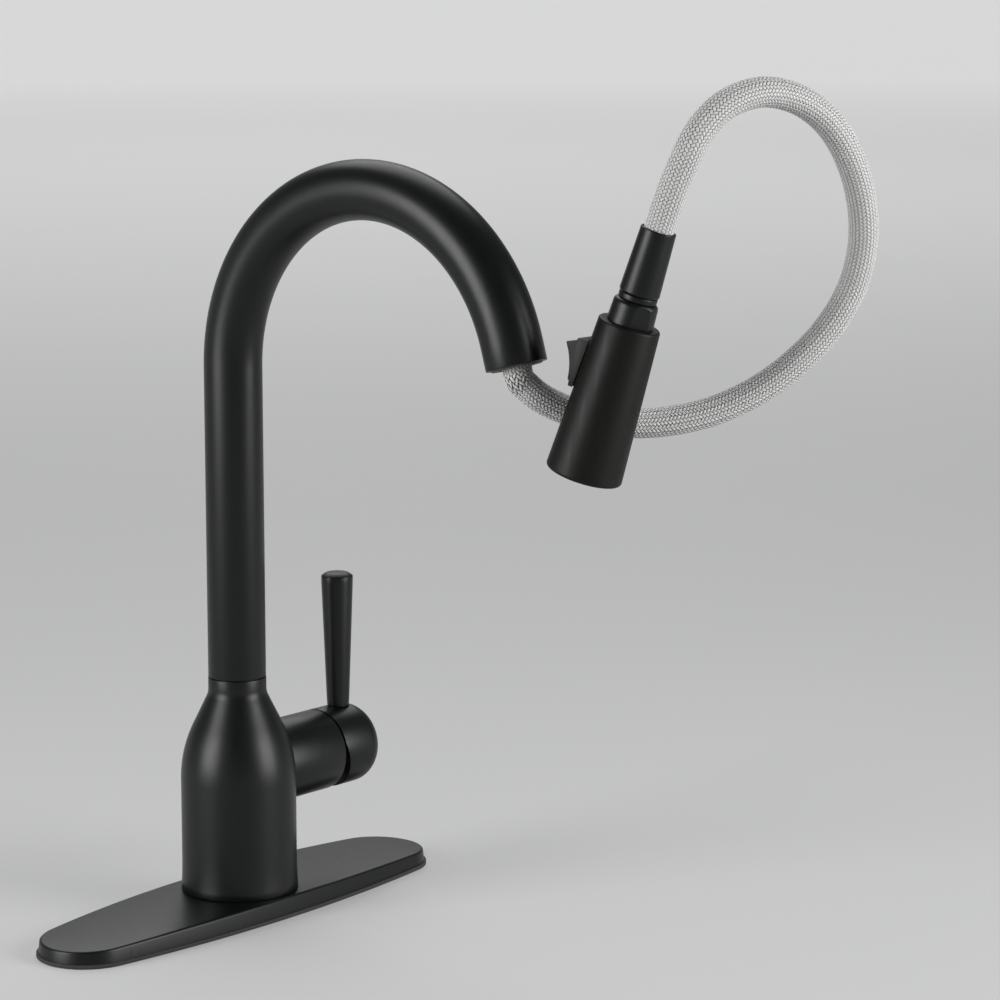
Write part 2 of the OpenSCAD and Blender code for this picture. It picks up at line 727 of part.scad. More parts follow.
module coupling_nut() {
  nut_gap = 0.1;
  flat_half = 8;
  color("Black") in_head() difference() {
    rotate_extrude() polygon([
      [0, nut_gap], [nut_r, nut_gap], [nut_r - 0.6, nut_h - 2], [nut_r - 1, nut_h - 0.9],
      [nut_r - 1.8, nut_h], [0, nut_h]]);
    translate([0, 0, -1]) cylinder(r = spigot_r + fit, h = nut_h - 1.1);
    cylinder(r = nut_throat_r, h = nut_h + 1);
    for (a = [-30, 150]) rotate([0, 0, a])
      translate([nut_flat_r, -flat_half, -1]) cube([4, 2 * flat_half, nut_h + 2]);
  }
}

module swivel_collar() {
  color("Black") in_head() translate([0, 0, nut_h + fit]) ring(ferrule_foot_r, nut_throat_r, collar_h - fit);
}
module hose_gasket() {
  color("DimGray") in_head() translate([0, 0, spigot_top + fit])
    ring(flange_r, stem_bore_r + 0.2, gasket_t - 3 * fit);
}

module inlet_screen() {
  pitch = 1.7;
  color("Silver") in_head() translate([0, 0, screen_z]) difference() {
    cylinder(r = screen_r - fit, h = 1.2);
    for (i = [-2:2], j = [-2:2]) translate([i * pitch, j * pitch, -1]) cylinder(r = 0.55, h = 4, $fn = 16);
  }
}

module inlet_spigot() {
  flange_foot = -lid_h - spigot_flange_h - fit;
  color("Gainsboro") in_head() difference() {
    union() {
      translate([0, 0, body_top]) cylinder(r = spigot_r, h = spigot_top - body_top);
      translate([0, 0, flange_foot]) cylinder(r = spigot_flange_r, h = spigot_flange_h);
      for (a = [45:90:315]) rotate([0, 0, a])
        translate([spigot_r - 0.5, -fin_t / 2, body_top + 6]) cube([3, fin_t, flange_foot - body_top - 5]);
    }
    translate([0, 0, body_top - 1]) cylinder(r = spigot_bore_r, h = spigot_top - body_top + 2);
    cylinder(r = screen_r, h = spigot_top + 1);
  }
}

function shell_r(z) = head_top_r + (head_end_r - head_top_r) * -z / head_len;
lid_h = 3;
shell_in_top = head_top_r - head_wall;
shell_in_end = head_end_r - head_wall - 0.2;
function shell_in_r(z) = shell_in_top + (shell_in_end - shell_in_top) * (-z - lid_h) / (head_len + 1 - lid_h);
frame_top = -13.2;
frame_end = -36;
frame_half = 8;
rocker_half = 6;
rocker_z = -25.5;
rocker_x = shell_r(rocker_z) + 0.6;
rocker_end_gap = 2.4;
pocket_edge = 1.2;
pocket_x = 8;
pin_r = 1;
pin_half = frame_half - 1;

module head_shell() {
  color("Black") in_head() difference() {
    rotate_extrude($fn = 144) polygon([
      [0, 0], [head_top_r - 0.4, 0], [head_top_r, -0.4], [shell_r(-head_len + 2), -head_len + 2],
      [head_end_r - 0.55, -head_len + 0.6], [head_end_r - 2, -head_len], [0, -head_len]]);
    rotate_extrude($fn = 144) polygon([
      [0, -lid_h], [shell_in_top, -lid_h], [shell_in_end, -head_len - 1], [0, -head_len - 1]]);
    translate([0, 0, -lid_h - 1]) cylinder(r = spigot_r + 0.1, h = lid_h + 2);
    translate([pocket_x, -rocker_half - 0.6, frame_end + pocket_edge])
      cube([14, 2 * rocker_half + 1.2, frame_top - frame_end - 2 * pocket_edge]);
  }
}

module button_frame() {
  top_x = shell_r(frame_top) + 4.1;
  color("Black") in_head() difference() {
    translate([0, frame_half, 0]) rotate([90, 0, 0]) linear_extrude(2 * frame_half) polygon([
      [pocket_x + 1, frame_top], [top_x - 0.3, frame_top - 0.4], [top_x, frame_top - 1.4],
      [shell_r(frame_end) + 0.9, frame_end], [pocket_x + 1, frame_end]]);
    rotate_extrude($fn = 144) polygon([
      [0, 0], [shell_r(0) + fit, 0], [shell_r(-head_len) + fit, -head_len], [0, -head_len]]);
    translate([pocket_x, -rocker_half - 0.3, frame_end + pocket_edge])
      cube([20, 2 * rocker_half + 0.6, frame_top - frame_end - 2 * pocket_edge]);
    rocker_axle(pin_r + fit, pin_half);
  }
}

module rocker_axle(r, half) {
  translate([rocker_x, half, rocker_z]) rotate([90, 0, 0]) cylinder(r = r, h = 2 * half, $fn = 32);
}
module rocker_pin() { color("Silver") in_head() rocker_axle(pin_r, pin_half - 2 * fit); }

module rocker_button() {
  top_z = frame_top - rocker_end_gap;
  end_z = frame_end + rocker_end_gap;
  lip_a = [shell_r(top_z) + 10, top_z - 0.5];
  lip_b = [shell_r(end_z) + 2.6, end_z + 0.3];
  dish = 1.1;
  half_face = norm(lip_a - lip_b) / 2 - 0.5;
  dish_r = (half_face * half_face + dish * dish) / (2 * dish);
  face_dir = (lip_a - lip_b) / norm(lip_a - lip_b);
  dish_c = (lip_a + lip_b) / 2 + (dish_r - dish) * [face_dir[1], -face_dir[0]];
  color("Black") in_head() difference() {
    union() {
      translate([0, rocker_half, 0]) rotate([90, 0, 0]) linear_extrude(2 * rocker_half) difference() {
        polygon([[rocker_x - 2.2, top_z - 6], [shell_r(top_z) + 1, top_z], [lip_a[0] - 0.4, top_z], lip_a, lip_b,
                 [lip_b[0] - 0.4, end_z], [shell_r(end_z) + 1, end_z], [rocker_x - 2.2, end_z + 5]]);
        translate(dish_c) circle(r = dish_r, $fn = 180);
      }
      translate([rocker_x - 7, -1.5, rocker_z - 1.5]) cube([6, 3, 3]);
    }
    rocker_axle(pin_r + run, rocker_half + 1);
  }
}

body_r = 12;
body_neck_r = 9.6;
body_h = 20;
body_neck_h = 12;
body_top = -26;
body_step = body_top - body_neck_h;
body_end = body_step - body_h;
spool_x = 7.4;
spool_r = 2.1;
spool_len = 15;
spool_end = -45;
fin_t = 1.6;
module diverter_body() {
  outlet_h = 13;
  color("Gainsboro") in_head() difference() {
    union() {
      translate([0, 0, body_end]) cylinder(r = body_r, h = body_h);
      translate([0, 0, body_step]) cylinder(r = body_neck_r, h = body_neck_h - fit);
      for (a = [30:60:330]) rotate([0, 0, a])
        translate([body_r - 1, -fin_t / 2, body_end + 1]) cube([2.8, fin_t, body_h - 4]);
    }
    translate([0, 0, body_end - 1]) cylinder(r = body_r / 2, h = outlet_h + 1);
    translate([0, 0, body_end + outlet_h - 1]) cylinder(r = stem_bore_r, h = body_h + 2);
    translate([spool_x - 1.9, -5, body_step]) cube([8, 10, body_neck_h + 1]);
    translate([spool_x, 0, spool_end - 5]) cylinder(r = spool_r + 0.1, h = 2 * spool_len, $fn = 32);
  }
}

module diverter_spool() {
  color("Black") in_head() difference() {
    union() {
      translate([spool_x, 0, spool_end]) cylinder(r = spool_r, h = spool_len, $fn = 32);
      translate([spool_x - 1.6, -2.6, spool_end + spool_len - 0.3]) cube([4.6, 5.2, 3]);
    }
    translate([spool_x, 0, spool_end + 3]) ring(3, spool_r - 0.6, 1.2);
  }
}

nozzle_ring_r = [12.6, 9.6];
nozzles = 16;
nozzle_hole_r = 0.9;
nozzle_face_r = 14.1;
nozzle_face_h = 3;
face_ring_h = 5;
face_ring_z = -head_len + 0.4;
face_z = -head_len + 0.9;
aerator_r = 6.5;
aerator_h = 9;
module face_ring() {
  color("Black") in_head() translate([0, 0, face_ring_z]) difference() {
    cylinder(r1 = shell_in_r(face_ring_z) - fit, r2 = shell_in_r(face_ring_z + face_ring_h) - fit,
      h = face_ring_h);
    translate([0, 0, -1]) cylinder(r = nozzle_face_r + 0.1, h = face_ring_h + 2);
  }
}
module nozzle_face() {
  color("DimGray") in_head() difference() {
    translate([0, 0, face_z]) cylinder(r = nozzle_face_r, h = nozzle_face_h);
    translate([0, 0, -head_len]) cylinder(r = aerator_r + 2 * fit, h = 2 * nozzle_face_h);
    at_nozzles(-head_len) cylinder(r = nozzle_hole_r, h = 2 * nozzle_face_h, $fn = 24);
  }
}
module at_nozzles(z) {
  for (k = [0, 1], i = [0:nozzles - 1]) rotate([0, 0, (i + k / 2) * 360 / nozzles])
    translate([nozzle_ring_r[k], 0, z]) children();
}
module rubber_nozzles() {
  tip_z = -head_len + 0.1;
  pad_z = face_z + nozzle_face_h + 2 * fit;
  color("Gray") in_head() union() {
    at_nozzles(tip_z) cylinder(r1 = 0.55, r2 = nozzle_hole_r - fit, h = pad_z - tip_z + 0.1, $fn = 24);
    translate([0, 0, pad_z]) ring(nozzle_face_r - 2 * fit, aerator_r + 1.5, 1);
  }
}
module aerator() {
  bar_pitch = 1.3;
  gap_w = 0.9;
  foot_z = -head_len + 0.7;
  floor_z = -head_len + 3;
  color("Silver") in_head() difference() {
    translate([0, 0, foot_z]) cylinder(r = aerator_r, h = aerator_h);
    for (i = [-4:4]) translate([i * bar_pitch - gap_w / 2, -aerator_r - 0.5, -head_len])
      cube([gap_w, 2 * aerator_r + 1, 2]);
    translate([0, 0, floor_z]) cylinder(r = aerator_r - 1.1, h = aerator_h);
  }
}

deck_gasket();
deck_plate();
plate_liner();
base_seal();
base_body();
swivel_hub();
swivel_washer();
hub_circlip();
shank();
rubber_washer();
steel_washer();
mounting_nut();
inlet_hot();
inlet_cold();
valve_arm();
water_block();
cartridge_case();
fixed_disc();
seat_seals();
cartridge_nut();
bonnet_ring();
stem_carrier();
stem_pin();
moving_disc();
handle_stem();
handle_dome();
lever();
set_screw();
spout_tube();
bush_lower();
bush_upper();
spout_seal();
mouth_insert();
inner_hose();
hose_coupling();
coupling_seal();
free_hose();
hose_ferrule();
swivel_stem();
coupling_nut();
swivel_collar();
hose_gasket();
inlet_screen();
inlet_spigot();
head_shell();
diverter_body();
face_ring();
nozzle_face();
rubber_nozzles();
aerator();
button_frame();
rocker_pin();
rocker_button();
diverter_spool();
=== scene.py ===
"""Looks of a pull-down kitchen faucet in satin black, with its spray head drawn out on a braided hose.

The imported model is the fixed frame. The outer pieces are modelled here around it, and every piece rides on
the body that carries it. Pieces that stay from the frame get a finish of their own. Sizes of the pieces are
in millimetres, and those of the studio, the finishes and the softened edges are in metres.
"""

import json
import logging
import math
from collections.abc import Callable
from dataclasses import dataclass, field
from enum import Enum

import bmesh
import bpy
import numpy as np
from mathutils import Matrix, Vector


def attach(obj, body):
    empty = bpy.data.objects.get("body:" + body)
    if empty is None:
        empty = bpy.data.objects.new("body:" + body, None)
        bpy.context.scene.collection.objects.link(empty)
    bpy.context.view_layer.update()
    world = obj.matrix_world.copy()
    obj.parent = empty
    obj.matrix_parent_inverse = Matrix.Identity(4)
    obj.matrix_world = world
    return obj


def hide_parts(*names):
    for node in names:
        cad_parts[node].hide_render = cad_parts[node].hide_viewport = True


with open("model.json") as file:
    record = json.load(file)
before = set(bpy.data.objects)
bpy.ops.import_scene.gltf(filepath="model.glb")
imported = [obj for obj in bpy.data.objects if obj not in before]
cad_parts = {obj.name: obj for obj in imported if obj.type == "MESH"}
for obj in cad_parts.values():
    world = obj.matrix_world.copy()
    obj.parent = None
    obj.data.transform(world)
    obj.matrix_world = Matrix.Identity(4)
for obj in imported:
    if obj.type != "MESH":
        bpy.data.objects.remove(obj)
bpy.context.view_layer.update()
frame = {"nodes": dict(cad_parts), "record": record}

MM = 0.001
DOUBLES = 1e-6  # points nearer than this, in metres, are merged
SPUN_DOUBLES = 1e-5  # the same where a spun outline meets its start
CREASE = 32.0  # edges sharper than this, in degrees, stay sharp in the shading
log = logging.getLogger("faucet")

Point = tuple[float, float, float]
Profile = list[tuple[float, float]]
Piece = bpy.types.Object
Node = bpy.types.Node
Socket = bpy.types.NodeSocket
Feed = Socket | float | tuple[float, ...]
Setting = str | bpy.types.NodeTree
Row = tuple[Piece, str, str, str]


def v(x: float, y: float, z: float) -> Vector:
    """A vector given in millimetres."""
    return Vector((x, y, z)) * MM


def linked(name: str, data: bpy.types.ID) -> Piece:
    """Puts a new object in the scene.

    Args:
        name: its name.
        data: its mesh, light or camera.

    Returns:
        The object, at the origin.
    """
    obj = bpy.data.objects.new(name, data)
    bpy.context.scene.collection.objects.link(obj)
    return obj


# ---------- operators shared by the pieces ----------
def clear_selection() -> None:
    """Leaves edit mode and deselects every object."""
    if bpy.context.object is not None and bpy.context.object.mode != "OBJECT":
        bpy.ops.object.mode_set(mode="OBJECT")
    bpy.ops.object.select_all(action="DESELECT")


def make_active(obj: Piece) -> None:
    """Selects one object alone and makes it the active one.

    Args:
        obj: the object to work on.
    """
    clear_selection()
    obj.select_set(True)
    bpy.context.view_layer.objects.active = obj


def edit(obj: Piece) -> None:
    """Opens an object's mesh for editing, with all of it selected.

    Args:
        obj: the object.
    """
    make_active(obj)
    bpy.ops.object.mode_set(mode="EDIT")
    bpy.ops.mesh.select_all(action="SELECT")


def edit_new(name: str) -> Piece:
    """Names the primitive that was just added and opens it for editing.

    Args:
        name: the piece's name.

    Returns:
        The object in edit mode.
    """
    obj = bpy.context.object
    obj.name = name
    edit(obj)
    return obj


def first_point(name: str, at: Vector) -> Piece:
    """Starts an outline with a single vertex.

    Args:
        name: the piece's name.
        at: the vertex's place, in metres.

    Returns:
        The object in edit mode, with the vertex selected.
    """
    clear_selection()
    bpy.ops.mesh.primitive_plane_add(size=MM, location=(0, 0, 0))
    obj = edit_new(name)
    bpy.ops.mesh.select_mode(type="VERT")
    bpy.ops.mesh.merge(type="CENTER")
    bpy.ops.transform.translate(value=at)
    return obj


def first_ring(name: str, radius: float, height: float, sides: int) -> Piece:
    """Starts a round shape with a ring about the Z axis.

    Args:
        name: the piece's name.
        radius: the ring's radius, in millimetres.
        height: its height, in millimetres.
        sides: its number of edges.

    Returns:
        The object in edit mode, with the ring selected.
    """
    bpy.ops.mesh.primitive_circle_add(vertices=sides, radius=radius * MM, location=(0, 0, height * MM))
    return edit_new(name)


def draw_out(x: float, y: float, z: float) -> None:
    """Extrudes what is selected by a step in metres."""
    bpy.ops.mesh.extrude_region_move(TRANSFORM_OT_translate={"value": (x, y, z)})


def pick_edges(obj: Piece, test: Callable[[Vector, Vector], bool]) -> None:
    """Selects the edges of an open mesh whose two ends pass a test.

    Args:
        obj: the object in edit mode.
        test: takes the two end points, in metres.
    """
    bpy.ops.mesh.select_mode(type="EDGE")
    bpy.ops.mesh.select_all(action="DESELECT")
    mesh = bmesh.from_edit_mesh(obj.data)
    for edge in mesh.edges:
        ends = [obj.matrix_world @ vert.co for vert in edge.verts]
        edge.select_set(test(*ends))
    bmesh.update_edit_mesh(obj.data)


def close_mesh() -> None:
    """Merges doubles, turns the faces outwards, leaves edit mode and puts the origin at the frame's."""
    bpy.ops.mesh.select_all(action="SELECT")
    bpy.ops.mesh.remove_doubles(threshold=DOUBLES)
    bpy.ops.mesh.normals_make_consistent(inside=False)
    bpy.ops.object.mode_set(mode="OBJECT")
    bpy.ops.object.transform_apply(location=True, rotation=True, scale=True)


def settle(obj: Piece, place: Matrix) -> None:
    """Moves a shape to its place and leaves its origin at the frame's origin.

    Args:
        obj: the shape.
        place: where it goes.
    """
    obj.matrix_world = place
    make_active(obj)
    bpy.ops.object.transform_apply(location=True, rotation=True, scale=True)


def apply_modifiers(obj: Piece) -> None:
    """Applies every modifier in order.

    Args:
        obj: the object that has them.
    """
    make_active(obj)
    for modifier in list(obj.modifiers):
        bpy.ops.object.modifier_apply(modifier=modifier.name)


def shade(obj: Piece, angle: float = CREASE) -> None:
    """Shades a surface smooth, apart from edges sharper than an angle in degrees."""
    make_active(obj)
    bpy.ops.object.shade_smooth_by_angle(angle=math.radians(angle))


def soften(obj: Piece, width: float, segments: int = 3, angle: float = CREASE) -> Piece:
    """Rounds the sharp edges and shades the surface smooth between them.

    Args:
        obj: the finished shape.
        width: width of the rounding, in metres.
        segments: faces across the rounding.
        angle: edges sharper than this many degrees are rounded.

    Returns:
        The same object.
    """
    bevel = obj.modifiers.new("soft_edges", "BEVEL")
    bevel.width = width
    bevel.segments = segments
    bevel.limit_method = "ANGLE"
    bevel.angle_limit = math.radians(angle)
    bevel.miter_outer = "MITER_ARC"
    bevel.use_clamp_overlap = True
    apply_modifiers(obj)
    shade(obj, angle)
    return obj


def thicken(obj: Piece, wall: float) -> None:
    """Gives a thin shell its wall, towards the inside.

    Args:
        obj: the shell.
        wall: the wall's thickness, in millimetres.
    """
    solidify = obj.modifiers.new("wall", "SOLIDIFY")
    solidify.thickness = wall * MM
    solidify.offset = -1
    apply_modifiers(obj)


def cut_away(obj: Piece, cutter: Piece) -> None:
    """Takes one closed shape out of another and deletes the cutter.

    Args:
        obj: the shape that loses material.
        cutter: the shape that is taken out.
    """
    boolean = obj.modifiers.new("cut", "BOOLEAN")
    boolean.operation = "DIFFERENCE"
    boolean.object = cutter
    apply_modifiers(obj)
    bpy.data.objects.remove(cutter)


def slice_off(obj: Piece, point: Vector, normal: Vector) -> None:
    """Cuts an object with a plane, drops what lies on the normal's side and fills the cut.

    Args:
        obj: the shape.
        point: a point of the plane, in metres.
        normal: the plane's normal.
    """
    edit(obj)
    bpy.ops.mesh.bisect(plane_co=point, plane_no=normal, use_fill=True, clear_outer=True)
    close_mesh()


def turned(name: str, profile: Profile, place: Matrix | None = None, sides: int = 144) -> Piece:
    """Turns a profile round the Z axis, ring by ring, and moves it to its place.

    Args:
        name: the piece's name.
        profile: radius and height of each ring, in millimetres. A profile that ends where it starts is a
            ring-shaped body, and any other gets a disc at each end.
        place: where the upright shape goes.
        sides: faces round the axis.

    Returns:
        The closed shape, with its origin at the frame's origin.
    """
    radius, height = profile[0]
    obj = first_ring(name, radius, height, sides)
    if profile[0] != profile[-1]:
        bpy.ops.mesh.edge_face_add()
    for next_radius, next_height in profile[1:]:
        draw_out(0, 0, (next_height - height) * MM)
        share = next_radius / radius
        bpy.ops.transform.resize(value=(share, share, 1), center_override=(0, 0, next_height * MM))
        radius, height = next_radius, next_height
    close_mesh()
    if place is not None:
        settle(obj, place)
    return obj


def prism(name: str, outline: Profile, half: float, place: Matrix) -> Piece:
    """Draws an outline point by point, fills it and draws it out to both sides.

    Args:
        name: the piece's name.
        outline: x and z of each corner, in millimetres.
        half: half of the width along y, in millimetres.
        place: where the shape goes.

    Returns:
        The closed shape, with its origin at the frame's origin.
    """
    here = outline[0]
    obj = first_point(name, v(here[0], -half, here[1]))
    for corner in outline[1:]:
        step = v(corner[0] - here[0], 0, corner[1] - here[1])
        bpy.ops.mesh.extrude_vertices_move(TRANSFORM_OT_translate={"value": step})
        here = corner
    bpy.ops.mesh.select_all(action="SELECT")
    bpy.ops.mesh.edge_face_add()
    draw_out(0, 2 * half * MM, 0)
    close_mesh()
    settle(obj, place)
    return obj


def arc(centre: tuple[float, float], radius: float, start: float, end: float, steps: int) -> Profile:
    """Points on an arc, from one angle to another in degrees, both ends among them."""
    angles = [math.radians(start + (end - start) * i / steps) for i in range(steps + 1)]
    return [(centre[0] + radius * math.cos(a), centre[1] + radius * math.sin(a)) for a in angles]


# ---------- finishes ----------
class Effect(Enum):
    """Shader groups that several finishes share."""

    GRAIN = "fine_grain"
    RUBBING = "rubbed_patches"
    TOOL_RINGS = "tool_rings"


class Mixed(Enum):
    """What a Mix node mixes: its data type, the number of its first input and that of its output."""

    NUMBERS = ("FLOAT", 2, 0)
    COLOURS = ("RGBA", 6, 2)


class NodeTree:
    """Short calls for laying out nodes and links in a node tree."""

    def __init__(self, tree: bpy.types.NodeTree) -> None:
        """Keeps the tree that the nodes go in."""
        self.tree = tree

    def feed(self, node: Node, feeds: dict[str | int, Feed]) -> None:
        """Links sockets to a node's inputs, or gives the inputs values.

        Args:
            node: the node.
            feeds: the socket or the value for each input, by the input's name or number.
        """
        for key, source in feeds.items():
            if isinstance(source, Socket):
                self.tree.links.new(source, node.inputs[key])
            else:
                node.inputs[key].default_value = source

    def add(self, kind: str, feeds: dict[str | int, Feed] | None = None, **settings: Setting) -> Node:
        """Adds a node.

        Args:
            kind: the node's type.
            feeds: what goes into its inputs.
            settings: its properties.

        Returns:
            The node.
        """
        node = self.tree.nodes.new(kind)
        for key, value in settings.items():
            setattr(node, key, value)
        self.feed(node, feeds or {})
        return node

    def maths(self, operation: str, *terms: Socket | float) -> Socket:
        """Adds a Math node over its terms and returns its output."""
        return self.add("ShaderNodeMath", dict(enumerate(terms)), operation=operation).outputs[0]

    def mix(self, what: Mixed, factor: Socket, low: Feed, high: Feed) -> Socket:
        """Mixes two numbers or two colours.

        Args:
            what: which of the two.
            factor: the share of the second.
            low: the first.
            high: the second.

        Returns:
            The mixture's socket.
        """
        kind, first, out = what.value
        feeds = {0: factor, first: low, first + 1: high}
        return self.add("ShaderNodeMix", feeds, data_type=kind).outputs[out]

    def ramp(self, source: Socket, low: float, high: float, to: tuple[float, float]) -> Socket:
        """Maps a value from one range to another, clamped.

        Args:
            source: the value.
            low: start of its range.
            high: end of its range.
            to: start and end of the new range.

        Returns:
            The new value's socket.
        """
        feeds = {"Value": source, "From Min": low, "From Max": high, "To Min": to[0], "To Max": to[1]}
        return self.add("ShaderNodeMapRange", feeds).outputs["Result"]

    def bump(self, height: Socket, distance: float, over: Socket | None = None) -> Socket:
        """Turns a height into a normal.

        Args:
            height: the height, from 0 to 1.
            distance: the depth that 1 stands for, in metres.
            over: the normal of a bump that lies under this one.

        Returns:
            The normal's socket.
        """
        feeds = {"Height": height, "Distance": distance}
        if over is not None:
            feeds["Normal"] = over
        return self.add("ShaderNodeBump", feeds).outputs["Normal"]

    def effect(self, effect: Effect, **levels: float) -> bpy.types.bpy_prop_collection:
        """Adds a shared group at the given levels and returns its outputs, by name."""
        feeds = {name.title(): level for name, level in levels.items()}
        return self.add("ShaderNodeGroup", feeds, node_tree=bpy.data.node_groups[effect.value]).outputs


def new_group(effect: Effect, inputs: dict[str, float], outputs: list[str]) -> tuple[NodeTree, Node, Node]:
    """Starts a shader group.

    Args:
        effect: the effect that it makes.
        inputs: its inputs, with the levels that they start at.
        outputs: the names of its outputs.

    Returns:
        The tree, its input node and its output node.
    """
    tree = bpy.data.node_groups.new(effect.value, "ShaderNodeTree")
    for name, level in inputs.items():
        socket = tree.interface.new_socket(name=name, in_out="INPUT", socket_type="NodeSocketFloat")
        socket.default_value = level
    for name in outputs:
        tree.interface.new_socket(name=name, in_out="OUTPUT", socket_type="NodeSocketFloat")
    lay = NodeTree(tree)
    return lay, lay.add("NodeGroupInput"), lay.add("NodeGroupOutput")


def grain_group() -> None:
    """Fine grain of a sprayed or moulded surface: a height, and a mask of its speckles."""
    lay, given, out = new_group(Effect.GRAIN, {"Scale": 1500.0, "Coarseness": 0.5}, ["Height", "Speckle"])
    place = {"Vector": lay.add("ShaderNodeTexCoord").outputs["Object"], "Scale": given.outputs["Scale"]}
    fine = lay.add("ShaderNodeTexNoise", {**place, "Detail": 3.0, "Roughness": 0.6}).outputs["Fac"]
    cells = lay.add("ShaderNodeTexVoronoi", place, feature="SMOOTH_F1").outputs["Distance"]
    height = lay.mix(Mixed.NUMBERS, given.outputs["Coarseness"], fine, cells)
    lay.feed(out, {"Height": height, "Speckle": lay.ramp(fine, 0.56, 0.72, (0, 1))})


def rubbing_group() -> None:
    """Broad soft patches where hands and cloths have rubbed the surface, and thin upright streaks."""
    lay, given, out = new_group(Effect.RUBBING, {"Scale": 14.0}, ["Patches", "Streaks"])
    place = lay.add("ShaderNodeTexCoord").outputs["Object"]
    broad_feeds = {"Vector": place, "Scale": given.outputs["Scale"], "Detail": 4.0, "Roughness": 0.55}
    broad = lay.add("ShaderNodeTexNoise", broad_feeds).outputs["Fac"]
    stretched = lay.add("ShaderNodeMapping", {"Vector": place, "Scale": (90, 90, 6)}).outputs["Vector"]
    thin = lay.add("ShaderNodeTexNoise", {"Vector": stretched, "Scale": 3.0, "Detail": 3.0}).outputs["Fac"]
    patches, streaks = lay.ramp(broad, 0.35, 0.7, (0, 1)), lay.ramp(thin, 0.45, 0.75, (0, 1))
    lay.feed(out, {"Patches": patches, "Streaks": streaks})


def tool_rings_group() -> None:
    """Fine rings that a lathe tool leaves along Z."""
    lay, given, out = new_group(Effect.TOOL_RINGS, {"Scale": 900.0}, ["Height"])
    place = lay.add("ShaderNodeTexCoord").outputs["Object"]
    feeds = {"Vector": place, "Scale": given.outputs["Scale"], "Distortion": 1.5, "Detail": 2.0}
    lay.feed(out, {"Height": lay.add("ShaderNodeTexWave", feeds, bands_direction="Z").outputs["Fac"]})


def new_material(name: str) -> tuple[bpy.types.Material, NodeTree, Node]:
    """Starts a material.

    Args:
        name: its name.

    Returns:
        The material, the layout of its nodes and its Principled shader.
    """
    made = bpy.data.materials.new(name)
    made.use_nodes = True
    return made, NodeTree(made.node_tree), made.node_tree.nodes["Principled BSDF"]


@dataclass(frozen=True)
class Finish:
    """A surface finish, named after the record's material slot that it dresses.

    Lengths are in metres, colours are linear.
    """

    slot: str
    colour: Point
    worn_colour: Point
    roughness: float
    roughness_spread: float = 0.08
    metallic: float = 0.0
    specular: float = 0.5
    grain_scale: float = 1500.0
    grain_depth: float = 0.00002
    coarseness: float = 0.4
    rub_scale: float = 14.0
    speckle_wear: float = 0.25
    patch_wear: float = 0.3
    tooled: bool = False

    def material(self) -> bpy.types.Material:
        """Builds the material, whose colour, roughness and bump vary over the surface.

        Returns:
            The material.
        """
        made, lay, shader = new_material(self.slot)
        grain = lay.effect(Effect.GRAIN, scale=self.grain_scale, coarseness=self.coarseness)
        rub = lay.effect(Effect.RUBBING, scale=self.rub_scale)
        rubbed = lay.maths("MULTIPLY", rub["Patches"], self.patch_wear)
        worn = lay.maths("MULTIPLY_ADD", grain["Speckle"], self.speckle_wear, rubbed)
        half = self.roughness_spread / 2
        under = None
        if self.tooled:
            under = lay.bump(lay.effect(Effect.TOOL_RINGS)["Height"], self.grain_depth)
        lay.feed(shader, {
            "Metallic": self.metallic,
            "Specular IOR Level": self.specular,
            "Base Color": lay.mix(Mixed.COLOURS, worn, (*self.colour, 1), (*self.worn_colour, 1)),
            "Roughness": lay.ramp(rub["Streaks"], 0, 1, (self.roughness + half, self.roughness - half)),
            "Normal": lay.bump(grain["Height"], self.grain_depth, under),
        })
        return made


